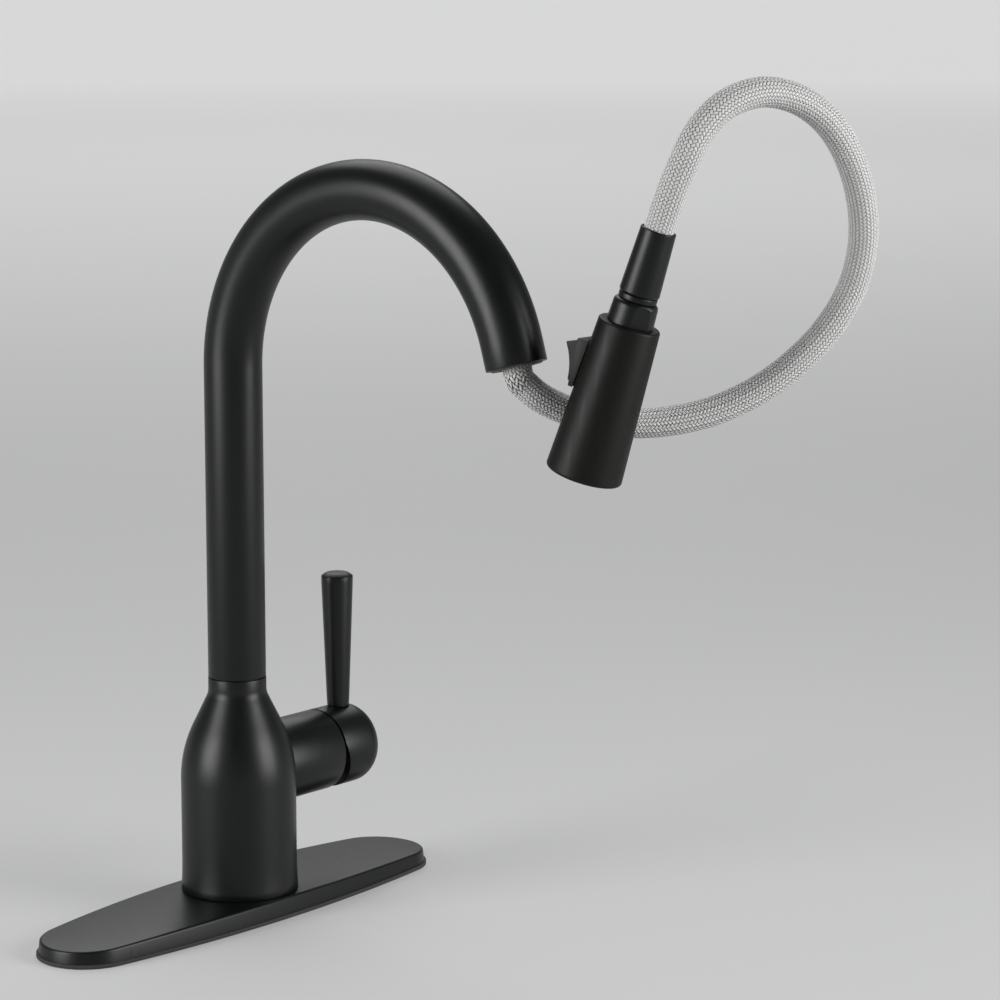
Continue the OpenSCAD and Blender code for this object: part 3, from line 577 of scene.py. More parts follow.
@dataclass(frozen=True)
class Braid:
    """Woven grey yarn of the hose, whose filaments follow the strands' own UV map, with painted shade in its
    colour.

    U runs across a yarn, and V is 1 where it lies on top and 0 where it dips under another; the material
    paints shade from both.
    """

    slot: str = "braid"
    light: Point = (0.66, 0.66, 0.65)
    # painted shade colour: that of the yarn's dips, edges and filament splits, and of the liner under the
    # yarns
    painted_shade_colour: Point = (0.05, 0.05, 0.05)
    rough_low: float = 0.28
    rough_high: float = 0.44
    filaments: float = 3.0
    # the widths and levels below set the painted shade at the yarn's edges, where it dips and between its
    # filaments
    edge_shade_width: float = 0.14
    edge_painted_shade: float = 0.8
    dip_shade_start: float = 0.95
    dip_shade_end: float = 0.42
    split_shade_width: float = 0.16
    split_painted_shade: float = 0.75
    grain_scale: float = 5200.0
    grain_shade: float = -0.18
    filament_depth: float = 0.00012
    fibre_depth: float = 0.00003

    def material(self) -> bpy.types.Material:
        """Builds the material.

        Returns:
            A material of bright yarn with painted shade, darker at its edges, where it dips and between its
            filaments, with a bump of threads.
        """
        made, lay, shader = new_material(self.slot)
        uv = lay.add("ShaderNodeUVMap", uv_map="strand").outputs["UV"]
        across, along = lay.add("ShaderNodeSeparateXYZ", {"Vector": uv}).outputs[:2]
        # painted shade: each yarn darker towards its edges, where it dips under another yarn and in the
        # splits between its filaments
        thread = lay.maths("PINGPONG", lay.maths("MULTIPLY", across, self.filaments), 0.5)
        edge = lay.ramp(lay.maths("PINGPONG", across, 0.5), 0, self.edge_shade_width, (self.edge_painted_shade, 1))
        edge_and_dip_shade = lay.maths("MULTIPLY", edge, lay.ramp(along, self.dip_shade_end, self.dip_shade_start, (0, 1)))
        painted_shade = lay.maths("MULTIPLY", edge_and_dip_shade, lay.ramp(thread, 0, self.split_shade_width, (self.split_painted_shade, 1)))
        grain = lay.effect(Effect.GRAIN, scale=self.grain_scale)
        share = lay.maths("MULTIPLY_ADD", grain["Speckle"], self.grain_shade, painted_shade)
        lay.feed(shader, {
            "Base Color": lay.mix(Mixed.COLOURS, share, (*self.painted_shade_colour, 1), (*self.light, 1)),
            "Roughness": lay.ramp(grain["Height"], 0.3, 0.7, (self.rough_high, self.rough_low)),
            "Normal": lay.bump(grain["Height"], self.fibre_depth, lay.bump(thread, self.filament_depth)),
        })
        return made


class Finishes:
    """Every finish of the faucet, built once and given out by its slot's name."""

    def __init__(self) -> None:
        """Builds the shared groups and the materials."""
        grain_group()
        rubbing_group()
        tool_rings_group()
        turned_metal = {"metallic": 1.0, "tooled": True, "rub_scale": 40.0}
        rows = [
            Finish("black_coat", (0.0026, 0.0033, 0.0031), (0.0044, 0.0053, 0.0051), 0.355, specular=0.3,
                   roughness_spread=0.03, grain_scale=1900.0, grain_depth=0.000012),
            Finish("black_plastic", (0.0042, 0.004, 0.0034), (0.0068, 0.0065, 0.0056), 0.45, specular=0.18,
                   grain_scale=1400.0),
            Finish("dark_plastic", (0.03, 0.03, 0.03), (0.045, 0.045, 0.045), 0.5),
            Finish("grey_plastic", (0.5, 0.5, 0.48), (0.42, 0.42, 0.4), 0.5),
            Finish("grey_brown_plastic", (0.06, 0.053, 0.045), (0.085, 0.075, 0.066), 0.55,
                   grain_depth=0.00004),
            Finish("slide_plastic", (0.72, 0.72, 0.7), (0.6, 0.6, 0.58), 0.35),
            Finish("seal_rubber", (0.035, 0.033, 0.03), (0.06, 0.057, 0.052), 0.72, specular=0.3,
                   grain_depth=0.00004),
            Finish("nozzle_rubber", (0.08, 0.08, 0.082), (0.11, 0.11, 0.115), 0.65, specular=0.3),
            Finish("brass", (0.68, 0.49, 0.2), (0.5, 0.34, 0.13), 0.28, **turned_metal),
            Finish("copper", (0.72, 0.36, 0.2), (0.45, 0.2, 0.11), 0.3, metallic=1.0, rub_scale=40.0),
            Finish("steel", (0.56, 0.57, 0.57), (0.4, 0.4, 0.4), 0.3, **turned_metal),
            Finish("ceramic", (0.85, 0.85, 0.82), (0.78, 0.77, 0.74), 0.12, grain_depth=0.000004),
            Braid(),
        ]
        self.by_slot = {row.slot: row.material() for row in rows}

    def give(self, obj: Piece, slot: str) -> None:
        """Puts a slot's material on an object in place of what it has."""
        obj.data.materials.clear()
        obj.data.materials.append(self.by_slot[slot])

    def dress_frame(self, record: dict) -> None:
        """Gives every node of the frame the material of its slot."""
        for part in record["subparts"]:
            self.give(frame["nodes"][part["node"]], part["material_slot"])


# ---------- camera, floor and light ----------
@dataclass
class Studio:
    """A pale floor, soft lamps and the camera, in metres, degrees and watts. The lens is in millimetres."""

    camera_at: Point = (-1.17974, -1.16229, 0.49261)
    elevation: float = 9.726
    azimuth: float = -50.0
    lens: float = 121.08
    sensor: float = 36.0
    floor_size: float = 120.0
    floor_rough: float = 0.85
    floor_specular: float = 0.2
    floor_tints: tuple[Point, Point] = ((0.37, 0.373, 0.376), (0.39, 0.39, 0.387))
    air_tint: Point = (0.97, 0.985, 1.0)
    air: float = 0.12
    horizon_level: float = 0.36
    horizon_rise: float = 0.3
    behind: Point = (0.707, 0.707, 0)
    sweep_start: float = -0.1
    sweep_end: float = 9.0
    near_level: float = 0.2
    sweep_level: float = 0.5
    sun: float = 1.2
    sun_angle: float = 50.0
    sun_from: Point = (0.45, 0.45, 0.77)
    middle: Point = (0, -0.1, 0.22)
    left_at: Point = (-1.42, 0.45, 0.55)
    right_at: Point = (0.5, -1.5, 0.55)
    side_size: tuple[float, float] = (0.85, 1.05)
    side_power: float = 9.5
    side_spread: float = 110.0
    back_at: Point = (3.0, 2.9, 1.1)
    back_size: tuple[float, float] = (3.6, 3.6)
    back_power: float = 12.0

    def camera(self) -> None:
        """Places the camera and makes it the scene's own."""
        data = bpy.data.cameras.new("camera")
        data.lens = self.lens
        data.sensor_width = self.sensor
        obj = linked("camera", data)
        obj.location = self.camera_at
        obj.rotation_euler = (math.radians(90 - self.elevation), 0, math.radians(self.azimuth))
        bpy.context.scene.camera = obj
        bpy.context.scene.view_settings.view_transform = "Standard"

    def floor(self) -> None:
        """Lays a pale matt floor with a slow, faint mottle."""
        clear_selection()
        bpy.ops.mesh.primitive_plane_add(size=self.floor_size, location=(0, 0, 0))
        obj = bpy.context.object
        obj.name = "floor"
        made, lay, shader = new_material("pale_floor")
        place = lay.add("ShaderNodeTexCoord").outputs["Object"]
        mottle = lay.add("ShaderNodeTexNoise", {"Vector": place, "Scale": 3.0, "Detail": 3.0}).outputs["Fac"]
        first, second = ((*tint, 1) for tint in self.floor_tints)
        lay.feed(shader, {
            "Base Color": lay.mix(Mixed.COLOURS, mottle, first, second),
            "Roughness": self.floor_rough,
            "Specular IOR Level": self.floor_specular,
            "Emission Color": (1, 1, 1, 1),
            "Emission Strength": self.sweep(lay, place),
        })
        obj.data.materials.append(made)

    def seen(self, lay: NodeTree) -> Socket:
        """One for rays that look at a surface, straight, mirrored or through glass, and nothing for light.

        Args:
            lay: the node tree that it is laid in.

        Returns:
            The socket that puts it out.
        """
        path = lay.add("ShaderNodeLightPath").outputs
        looked = lay.maths("MAXIMUM", path["Is Camera Ray"], path["Is Glossy Ray"])
        return lay.maths("MAXIMUM", looked, path["Is Transmission Ray"])

    def horizon(self, lay: NodeTree, back: Node) -> None:
        """Lets the air be as pale as the far floor at the horizon, and darker higher up.

        Args:
            lay: the world's node tree.
            back: its Background shader.
        """
        view = lay.add("ShaderNodeTexCoord").outputs["Generated"]
        height = lay.add("ShaderNodeSeparateXYZ", {"Vector": view}).outputs["Z"]
        glow = lay.ramp(height, 0, self.horizon_rise, (self.horizon_level, self.air))
        lay.feed(back, {"Strength": lay.mix(Mixed.NUMBERS, self.seen(lay), self.air, glow)})

    def sweep(self, lay: NodeTree, place: Socket) -> Socket:
        """Lets the floor grow paler far behind the faucet, as a backdrop does, for what looks at it.

        Args:
            lay: the floor's node tree.
            place: its object coordinates.

        Returns:
            The glow's strength.
        """
        away = lay.add("ShaderNodeVectorMath", {0: place, 1: self.behind}, operation="DOT_PRODUCT")
        reach = away.outputs["Value"]
        level = lay.ramp(reach, self.sweep_start, self.sweep_end, (self.near_level, self.sweep_level))
        return lay.maths("MULTIPLY", self.seen(lay), level)

    def lamp(
        self, name: str, at: Point, aim: Point, size: tuple[float, float], power: float, spread: float = 180.0
    ) -> None:
        """Hangs a rectangular soft lamp and turns it to a point.

        Args:
            name: the lamp's name.
            at: its place.
            aim: the point it faces.
            size: its width and height.
            power: its power in watts.
            spread: how wide its light fans out, in degrees, as a grid before it sets it.
        """
        data = bpy.data.lights.new(name, "AREA")
        data.shape = "RECTANGLE"
        data.size, data.size_y = size
        data.energy = power
        data.spread = math.radians(spread)
        obj = linked(name, data)
        obj.location = at
        obj.rotation_euler = (Vector(at) - Vector(aim)).to_track_quat("Z", "Y").to_euler()

    def lights(self) -> None:
        """Sets the dim air, a broad high sun, two side lamps and one over the floor far behind."""
        world = bpy.data.worlds.new("studio_air")
        world.use_nodes = True
        back = world.node_tree.nodes["Background"]
        back.inputs["Color"].default_value = (*self.air_tint, 1)
        self.horizon(NodeTree(world.node_tree), back)
        bpy.context.scene.world = world
        sun = bpy.data.lights.new("high_sun", "SUN")
        sun.energy = self.sun
        sun.angle = math.radians(self.sun_angle)
        turn = Vector(self.sun_from).to_track_quat("Z", "Y").to_euler()
        linked("high_sun", sun).rotation_euler = turn
        for name, at in (("left_lamp", self.left_at), ("right_lamp", self.right_at)):
            self.lamp(name, at, self.middle, self.side_size, self.side_power, self.side_spread)
        under = (*self.back_at[:2], 0)
        self.lamp("back_lamp", self.back_at, under, self.back_size, self.back_power)

    def build(self) -> None:
        """Sets up camera, floor and light."""
        self.camera()
        self.floor()
        self.lights()


# ---------- what the sub-assemblies share ----------
class SubAssembly:
    """Pieces that are modelled together."""

    def pieces(self) -> list[Row]:
        """Models the pieces.

        Returns:
            Each piece with its body, the node of the frame that it stands for and its finish.
        """
        raise NotImplementedError

    def install(self, finishes: Finishes, row: Row) -> None:
        """Dresses a piece and sets it in place of the frame's.

        Args:
            finishes: the materials.
            row: the piece, its body, its node and its finish.
        """
        obj, body, node, slot = row
        finishes.give(obj, slot)
        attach(obj, body)
        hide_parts(node)
        log.info("%s: %s", type(self).__name__, obj.name)

    def build(self, finishes: Finishes) -> None:
        """Models the pieces and installs them in order."""
        for row in self.pieces():
            self.install(finishes, row)


# ---------- spout ----------
@dataclass
class Spout(SubAssembly):
    """The swivelling gooseneck pipe."""

    radius: float = 14.5
    wall: float = 2.0
    foot_z: float = 120.35
    bend_z: float = 277.0
    neck_r: float = 91.5
    bend_angle: float = 163.7
    mouth_straight: float = 11.0
    rim_edge: float = 0.00035
    sides: int = 96
    bend_steps: int = 90

    @property
    def mouth_dir(self) -> Vector:
        """Direction in which the mouth opens."""
        a = math.radians(self.bend_angle)
        return Vector((0, -math.sin(a), math.cos(a)))

    @property
    def mouth(self) -> Vector:
        """Middle of the mouth.

        Returns:
            The point, in metres.
        """
        a = math.radians(self.bend_angle)
        end = v(0, -self.neck_r + self.neck_r * math.cos(a), self.bend_z + self.neck_r * math.sin(a))
        return end + self.mouth_straight * MM * self.mouth_dir

    def pipe(self) -> Piece:
        """Draws a ring up the riser, spins it round the bend and gives the shell its wall.

        Returns:
            The hollow pipe with rounded rims.
        """
        clear_selection()
        obj = first_ring("gooseneck_pipe", self.radius, self.foot_z, self.sides)
        draw_out(0, 0, (self.bend_z - self.foot_z) * MM)
        turn, middle = math.radians(self.bend_angle), v(0, -self.neck_r, self.bend_z)
        bpy.ops.mesh.spin(steps=self.bend_steps, angle=turn, center=middle, axis=(-1, 0, 0))
        draw_out(*(self.mouth_straight * MM * self.mouth_dir))
        close_mesh()
        thicken(obj, self.wall)
        return soften(obj, self.rim_edge)

    def pieces(self) -> list[Row]:
        """Models the pipe."""
        return [(self.pipe(), "spout", "spout_tube", "black_coat")]


# ---------- hose ----------
@dataclass
class Cloth:
    """Points, faces and UV values of a mesh that grows strip by strip."""

    points: list[np.ndarray] = field(default_factory=list)
    faces: list[tuple[int, ...]] = field(default_factory=list)
    uvs: list[tuple[float, float]] = field(default_factory=list)
    size: int = 0

    def add_strip(self, rings: list[np.ndarray], across: list[float], lifted: np.ndarray) -> None:
        """Joins lines of points, side by side, into a strip of faces.

        Args:
            rings: lines of equally many points.
            across: the U value of each line.
            lifted: the V value of each point along a line, 1 where a yarn lies on top and 0 where it dips.
        """
        rows = len(rings[0])
        for k, line in enumerate(rings):
            self.points.append(line)
            self.uvs.extend((across[k], float(v_value)) for v_value in lifted)
        for k in range(len(rings) - 1):
            start = self.size + k * rows
            self.faces.extend((a, a + rows, a + rows + 1, a + 1) for a in range(start, start + rows - 1))
        self.size += rows * len(rings)

    def piece(self, name: str) -> Piece:
        """Makes the smooth-shaded object with its UV map.

        Args:
            name: the piece's name.

        Returns:
            The object, with its origin at the frame's origin.
        """
        made = bpy.data.meshes.new(name)
        made.from_pydata(np.concatenate(self.points).tolist(), [], self.faces)
        layer = made.uv_layers.new(name="strand")
        corners = np.empty(len(made.loops), dtype=np.int32)
        made.loops.foreach_get("vertex_index", corners)
        layer.data.foreach_set("uv", np.array(self.uvs)[corners].ravel())
        made.polygons.foreach_set("use_smooth", [True] * len(made.polygons))
        return linked(name, made)


@dataclass
class Centreline:
    """Evenly spaced frames along a curve, without twist, in metres."""

    centre: np.ndarray
    tangent: np.ndarray
    side: np.ndarray
    up: np.ndarray

    @classmethod
    def along(cls, line: np.ndarray, spacing: float, end: float) -> "Centreline":
        """Sets frames along a line of points.

        Args:
            line: the points, in metres.
            spacing: distance between frames.
            end: length at which the frames stop.

        Returns:
            The frames.
        """
        steps = np.concatenate([[0], np.cumsum(np.linalg.norm(np.diff(line, axis=0), axis=1))])
        where = np.linspace(0, end, round(end / spacing) + 1)
        centre = np.stack([np.interp(where, steps, line[:, i]) for i in range(3)], axis=1)
        tangent = np.gradient(centre, axis=0)
        tangent /= np.linalg.norm(tangent, axis=1)[:, None]
        side = np.cross(tangent[0], (1, 0, 0))
        sides = []
        for t in tangent:
            side = side - (side @ t) * t
            side /= np.linalg.norm(side)
            sides.append(side)
        return cls(centre, tangent, np.array(sides), np.cross(tangent, np.array(sides)))

    def around(self, angle: np.ndarray, radius: np.ndarray, slip: float) -> np.ndarray:
        """Points round the line, one at each frame.

        Args:
            angle: the angle at each frame.
            radius: distance from the line at each frame, in millimetres.
            slip: shift along the line, in millimetres.

        Returns:
            The points, in metres.
        """
        out = np.cos(angle)[:, None] * self.side + np.sin(angle)[:, None] * self.up
        return self.centre + radius[:, None] * MM * out + slip * MM * self.tangent


@dataclass
class Hose(SubAssembly):
    """The braided hose, which leaves the spout's mouth, swings round in a loop and enters the ferrule.

    Each row of yarn_shape is a line along a yarn: its place across, from -1 to 1, the share of yarn_edge
    that it stands up, and its U value. The points of hang are measured from the mouth.
    """

    spout: Spout
    head: "SprayHead"
    radius: float = 7.0
    carriers: int = 24
    lay_angle: float = 45.0
    yarn_edge: float = 0.2
    yarn_rise: float = 0.5
    yarn_shape: tuple[Point, ...] = ((-1, 0, 0.0), (-0.42, 1, 0.3), (0.42, 1, 0.7), (1, 0, 1.0))
    liner_depth: float = 0.95
    liner_sides: int = 24
    liner_spacing: float = 3.0
    first_straight: float = 6.0
    tucked: float = 2.0
    hang: list[Point] = field(default_factory=lambda: [
        (3, -3.5, -9.5), (8, -7, -14.5), (16, -12, -19.5), (28, -20, -25), (45, -32.5, -28.5),
        (61, -46, -27.5), (77.5, -59.5, -22.5), (93, -72.5, -13), (106, -84, 0), (116, -94, 15.5),
        (122, -102, 34), (122.5, -107, 54.5), (117.5, -109, 75), (108, -108.5, 94.5), (94.5, -106, 111),
        (77.5, -101, 122), (58, -94.5, 126), (40, -88, 121), (28.5, -82.5, 110), (22.5, -78, 96),
        (20, -72.5, 81),
    ])
    samples: int = 24

    def route(self) -> list[Vector]:
        """Joins the hose's start in the mouth, its hanging loop and its end in the ferrule.

        Returns:
            The points that it follows, in metres.
        """
        mouth = self.spout.mouth
        start = [mouth, mouth + self.first_straight * MM * self.spout.mouth_dir]
        return start + [mouth + v(*p) for p in self.hang] + [self.head.ferrule_mouth, self.head.hose_end]

    def centreline(self) -> np.ndarray:
        """Draws a smooth curve through the route.

        Returns:
            Its points, in metres.
        """
        points = self.route()
        points = [2 * points[0] - points[1], *points, 2 * points[-1] - points[-2]]
        line = []
        for a, b, c, d in zip(points, points[1:], points[2:], points[3:]):
            first, second, third = c - a, 2 * a - 5 * b + 4 * c - d, 3 * b - a - 3 * c + d
            for t in (k / self.samples for k in range(self.samples)):
                line.append(0.5 * (2 * b + first * t + second * t**2 + third * t**3))
        line.append(points[-2])
        return np.array([list(p) for p in line])

    def build(self, finishes: Finishes) -> None:
        """Args:
            finishes: the materials.
        """
        line = self.centreline()
        length = float(np.linalg.norm(np.diff(line, axis=0), axis=1).sum())
        spacing = math.pi * self.radius * MM / self.carriers / math.tan(math.radians(self.lay_angle))
        cloth = Cloth()
        shown = length - (self.head.socket_depth - self.tucked) * MM
        self.weave(Centreline.along(line, spacing, shown), cloth)
        self.liner(Centreline.along(line, self.liner_spacing * spacing, length), cloth)
        obj = cloth.piece("braided_hose")
        self.install(finishes, (obj, "spout", "free_hose", "braid"))
        path = [list(p) for p in line[:: self.samples // 4]]
        if path[-1] != list(line[-1]):
            path.append(list(line[-1]))
        log.info("hose: %.3f m", length)

    def weave(self, line: Centreline, cloth: Cloth) -> None:
        """Adds the yarns of both directions, each over two and under two of the others.

        Args:
            line: frames along the hose, one at each crossing of the yarns.
            cloth: the mesh that the yarns are added to.
        """
        index = np.arange(len(line.centre))
        lean = math.radians(self.lay_angle)
        half = math.pi * self.radius / self.carriers * math.cos(lean)
        for way in (1, -1):
            for yarn in range(self.carriers):
                crossing = way * index + 2 * yarn
                over = (crossing % 4 < 2) if way > 0 else (crossing % 4 > 1)
                middle = crossing * math.pi / self.carriers
                height = self.radius - self.yarn_edge - np.where(over, 0.0, self.yarn_rise)
                rings = []
                for share, crown, _ in self.yarn_shape:
                    angle = middle + share * half * math.cos(lean) / self.radius
                    slip = -way * share * half * math.sin(lean)
                    rings.append(line.around(angle, height + crown * self.yarn_edge, slip))
                cloth.add_strip(rings, [u for _, _, u in self.yarn_shape], np.where(over, 1.0, 0.0))

    def liner(self, line: Centreline, cloth: Cloth) -> None:
        """Adds the tube under the yarns, closed at both ends, in the braid's painted shade colour, as the
        shade seen between the yarns.

        Args:
            line: frames along the hose.
            cloth: the mesh that the tube is added to.
        """
        rows, count, first = len(line.centre), self.liner_sides, cloth.size
        depth = np.full(rows, self.radius - self.liner_depth)
        rings = [line.around(np.full(rows, 2 * math.pi * k / count), depth, 0) for k in range(count)]
        # U and V of 0 give the tube the braid's painted shade colour, the shade seen between the yarns
        cloth.add_strip([*rings, rings[0]], [0.0] * (count + 1), np.zeros(rows))
        cloth.faces.append(tuple(first + k * rows for k in reversed(range(count))))
        cloth.faces.append(tuple(first + k * rows + rows - 1 for k in range(count)))


# ---------- spray head ----------
@dataclass
class SprayHead(SubAssembly):
    """Ferrule, swivel collar, nut, shell and button of the spray head.

    Heights are in the head's own frame: 0 is the shell's top, and the spray leaves downwards. Pairs of
    sizes go from the upper end to the lower, and ferrule_r from the foot to the top.
    """

    spout: Spout
    from_mouth: Point = (15.2, -53.8, 22.4)
    tilt: float = 17.5
    azimuth: float = -73.0
    button_azimuth: float = 172.0
    length: float = 74.0
    top_r: float = 14.5
    end_r: float = 18.0
    wall: float = 2.0
    crown: float = 3.0
    bore_r: float = 7.6
    crown_edge: float = 1.1
    lip_r: float = 1.5
    nut_h: float = 11.5
    nut_r: float = 10.9
    nut_flat_r: float = 9.75
    nut_flats: tuple[float, float] = (-39, 141)
    collar_h: float = 2.85
    collar_r: float = 9.0
    stem_r: float = 4.9
    ferrule_len: float = 30.5
    ferrule_r: tuple[float, float] = (9.4, 8.3)
    ferrule_stem_r: float = 4.6
    ferrule_gap: float = 0.25
    socket_depth: float = 20.0
    hose_r: float = 7.0
    hose_gap: float = 0.15
    opening: tuple[float, float] = (-14.4, -34.8)
    frame_z: tuple[float, float] = (-13.2, -36.0)
    frame_rise: tuple[float, float] = (4.1, 0.9)
    frame_half: float = 8.0
    root_half: float = 7.3
    seam: float = 0.5
    root_sink: float = 0.6
    rocker_z: tuple[float, float] = (-15.6, -34.2)
    rocker_half: float = 5.9
    axle_z: float = -25.5
    dish: float = 1.1
    dish_steps: int = 12
    metal_edge: float = 0.00025
    collar_edge: float = 0.0004
    frame_edge: float = 0.00045
    rocker_edge: float = 0.0006
    ferrule: Piece | None = None

    @property
    def place(self) -> Matrix:
        """Turns and moves the upright head to where it hangs.

        Returns:
            The whole move.
        """
        around = Matrix.Rotation(math.radians(self.azimuth), 4, "Z")
        turn = around @ Matrix.Rotation(math.radians(self.tilt), 4, "Y")
        button = Matrix.Rotation(math.radians(self.button_azimuth), 4, "Z")
        return Matrix.Translation(self.spout.mouth + v(*self.from_mouth)) @ turn @ button

    @property
    def ferrule_z(self) -> float:
        """Height of the ferrule's foot."""
        return self.nut_h + self.collar_h + self.ferrule_gap

    @property
    def ferrule_mouth(self) -> Vector:
        """Middle of the ferrule's open top, in metres."""
        return self.place @ v(0, 0, self.ferrule_z + self.ferrule_len)

    @property
    def hose_end(self) -> Vector:
        """Where the hose ends inside the ferrule, in metres."""
        return self.place @ v(0, 0, self.ferrule_z + self.ferrule_len - self.socket_depth)

    def shell_r(self, z: float) -> float:
        """Outer radius of the shell at a height."""
        return self.top_r + (self.end_r - self.top_r) * -z / self.length

    def make_ferrule(self) -> Piece:
        """Turns the tapered sleeve that grips the hose, with its rolled lip.

        Returns:
            The sleeve.
        """
        foot, top = self.ferrule_z, self.ferrule_z + self.ferrule_len
        (low_r, top_r), stem = self.ferrule_r, self.ferrule_stem_r
        bore, seat = self.hose_r + self.hose_gap, top - self.socket_depth
        profile = [(stem, foot), (low_r - 0.4, foot), (low_r, foot + 0.6), (top_r, top - 1.3)]
        profile += [(top_r, top - 0.4), (top_r - 0.2, top - 0.1), (top_r - 0.5, top), (bore + 0.35, top)]
        profile += [(bore, top - 0.6), (bore, seat), (stem, seat), (stem, foot)]
        return soften(turned("hose_sleeve", profile, self.place), self.metal_edge)

    def make_nut(self) -> Piece:
        """Turns the coupling nut and cuts its two spanner flats.

        Returns:
            The nut.
        """
        top, low = self.nut_h, 0.1
        shoulder = arc((8.05, top - 2.45), 2.4, 2, 78, 13)
        profile = [(self.stem_r, low), (self.nut_r, low), *shoulder, (8.0, top), (self.stem_r, top)]
        obj = turned("head_nut", [*profile, profile[0]], self.place)
        for turn in self.nut_flats:
            a = math.radians(turn)
            across = Vector((math.cos(a), math.sin(a), 0))
            slice_off(obj, self.place @ (across * self.nut_flat_r * MM), self.place.to_3x3() @ across)
        return soften(obj, self.metal_edge, 2, 12)

    def make_collar(self) -> Piece:
        """Turns the narrow swivel collar between nut and ferrule.

        Returns:
            The collar.
        """
        low, high = self.nut_h + 0.05, self.nut_h + self.collar_h
        bore, edge = self.stem_r, self.collar_r
        profile = [(bore, low), (edge, low), (edge, high), (bore, high), (bore, low)]
        return soften(turned("neck_collar", profile, self.place), self.collar_edge)

    def cut_button(self, obj: Piece, reach: float, half: float) -> None:
        """Cuts the opening for the button.

        Args:
            obj: the piece that is cut.
            reach: how far out from the axis the cut goes.
            half: half of its width.
        """
        top, end = self.opening
        outline = [(8, top), (reach, top), (reach, end), (8, end)]
        cut_away(obj, prism("opening", outline, half, self.place))

    def make_shell(self) -> Piece:
        """Turns the tapered shell with its soft top edge, rolled lip and inner wall.

        Returns:
            The shell, with the button's opening.
        """
        end, edge, lip, low = -self.length, self.crown_edge, self.lip_r, -self.crown
        inner_top, inner_end = self.top_r - self.wall, self.end_r - self.wall - 0.2
        profile = [(self.bore_r, low), (self.bore_r, 0.0), (self.top_r - edge, 0.0)]
        profile += arc((self.top_r - edge, -edge), edge, 90, 4, 5)
        profile += [(self.shell_r(end + 2.2), end + 2.2)]
        profile += arc((self.end_r - lip - 0.05, end + lip), lip, 0, -90, 6)
        profile += [(inner_end + 0.25, end), (inner_end, end + 0.3), (inner_top, low), (self.bore_r, low)]
        obj = turned("head_cover", profile, self.place, sides=160)
        self.cut_button(obj, 24, 6.6)
        shade(obj)
        return obj

    def make_frame(self) -> Piece:
        """Shapes the wedge round the button and hollows it to lie on the shell.

        Returns:
            The surround, with the root that fills its seam.
        """
        top, end = self.frame_z
        top_r, end_r = self.shell_r(top), self.shell_r(end)
        rise, low_rise = self.frame_rise
        wedge = [(9, top), (top_r + rise - 0.3, top - 0.4), (top_r + rise, top - 1.4)]
        foot = [(9, top - 0.8), (top_r + 1.5, top - 0.8), (end_r + 0.6, end + 0.6), (9, end + 0.6)]
        wedge += [(end_r + low_rise, end), (9, end)]
        obj = prism("button_surround", wedge, self.frame_half, self.place)
        root = prism("root", foot, self.root_half, self.place)
        for piece, gap in ((obj, self.seam), (root, -self.root_sink)):
            core = [(self.shell_r(z) + gap, z) for z in (6.0, -70.0)]
            cut_away(piece, turned("core", core, self.place))
            self.cut_button(piece, 28, 6.3)
        soften(obj, self.frame_edge, angle=28)
        make_active(obj)
        root.select_set(True)
        bpy.ops.object.join()
        return obj

    def make_rocker(self) -> Piece:
        """Shapes the rocker with its dished face and soft corners.

        Returns:
            The rocker.
        """
        top, end = self.rocker_z
        top_r, end_r = self.shell_r(top), self.shell_r(end)
        back_x = self.shell_r(self.axle_z) - 1.6
        lip_a, lip_b = (top_r + 10, top - 2.3), (end_r + 3.0, end + 0.3)
        span = math.dist(lip_a, lip_b)
        face = ((lip_a[0] - lip_b[0]) / span, (lip_a[1] - lip_b[1]) / span)
        middle = ((lip_a[0] + lip_b[0]) / 2, (lip_a[1] + lip_b[1]) / 2)
        outline = [(back_x, top - 6), (top_r + 1, top), (top_r + 5, top - 0.1)]
        outline += [(lip_a[0] - 0.5, lip_a[1] + 0.45), lip_a]
        for t in (i / self.dish_steps for i in range(self.dish_steps + 1)):
            along = span / 2 - 0.5 - t * (span - 1)
            depth = self.dish * (1 - (2 * t - 1) ** 2)
            x = middle[0] + face[0] * along - face[1] * depth
            outline.append((x, middle[1] + face[1] * along + face[0] * depth))
        outline += [lip_b, (lip_b[0] - 0.4, end), (end_r + 1, end), (back_x, end + 5)]
        obj = prism("spray_rocker", outline, self.rocker_half, self.place)
        return soften(obj, self.rocker_edge, angle=28)

    def pieces(self) -> list[Row]:
        """Models the outer pieces of the head.

        Returns:
            Each piece with its body, node and finish.
        """
        self.ferrule = self.make_ferrule()
        return [
            (self.ferrule, "spout", "hose_ferrule", "black_coat"),
            (self.make_nut(), "head", "coupling_nut", "black_coat"),
            (self.make_collar(), "head", "swivel_collar", "black_coat"),
            (self.make_shell(), "head", "head_shell", "black_plastic"),
            (self.make_frame(), "head", "button_frame", "black_plastic"),
            (self.make_rocker(), "rocker", "rocker_button", "black_plastic"),
        ]


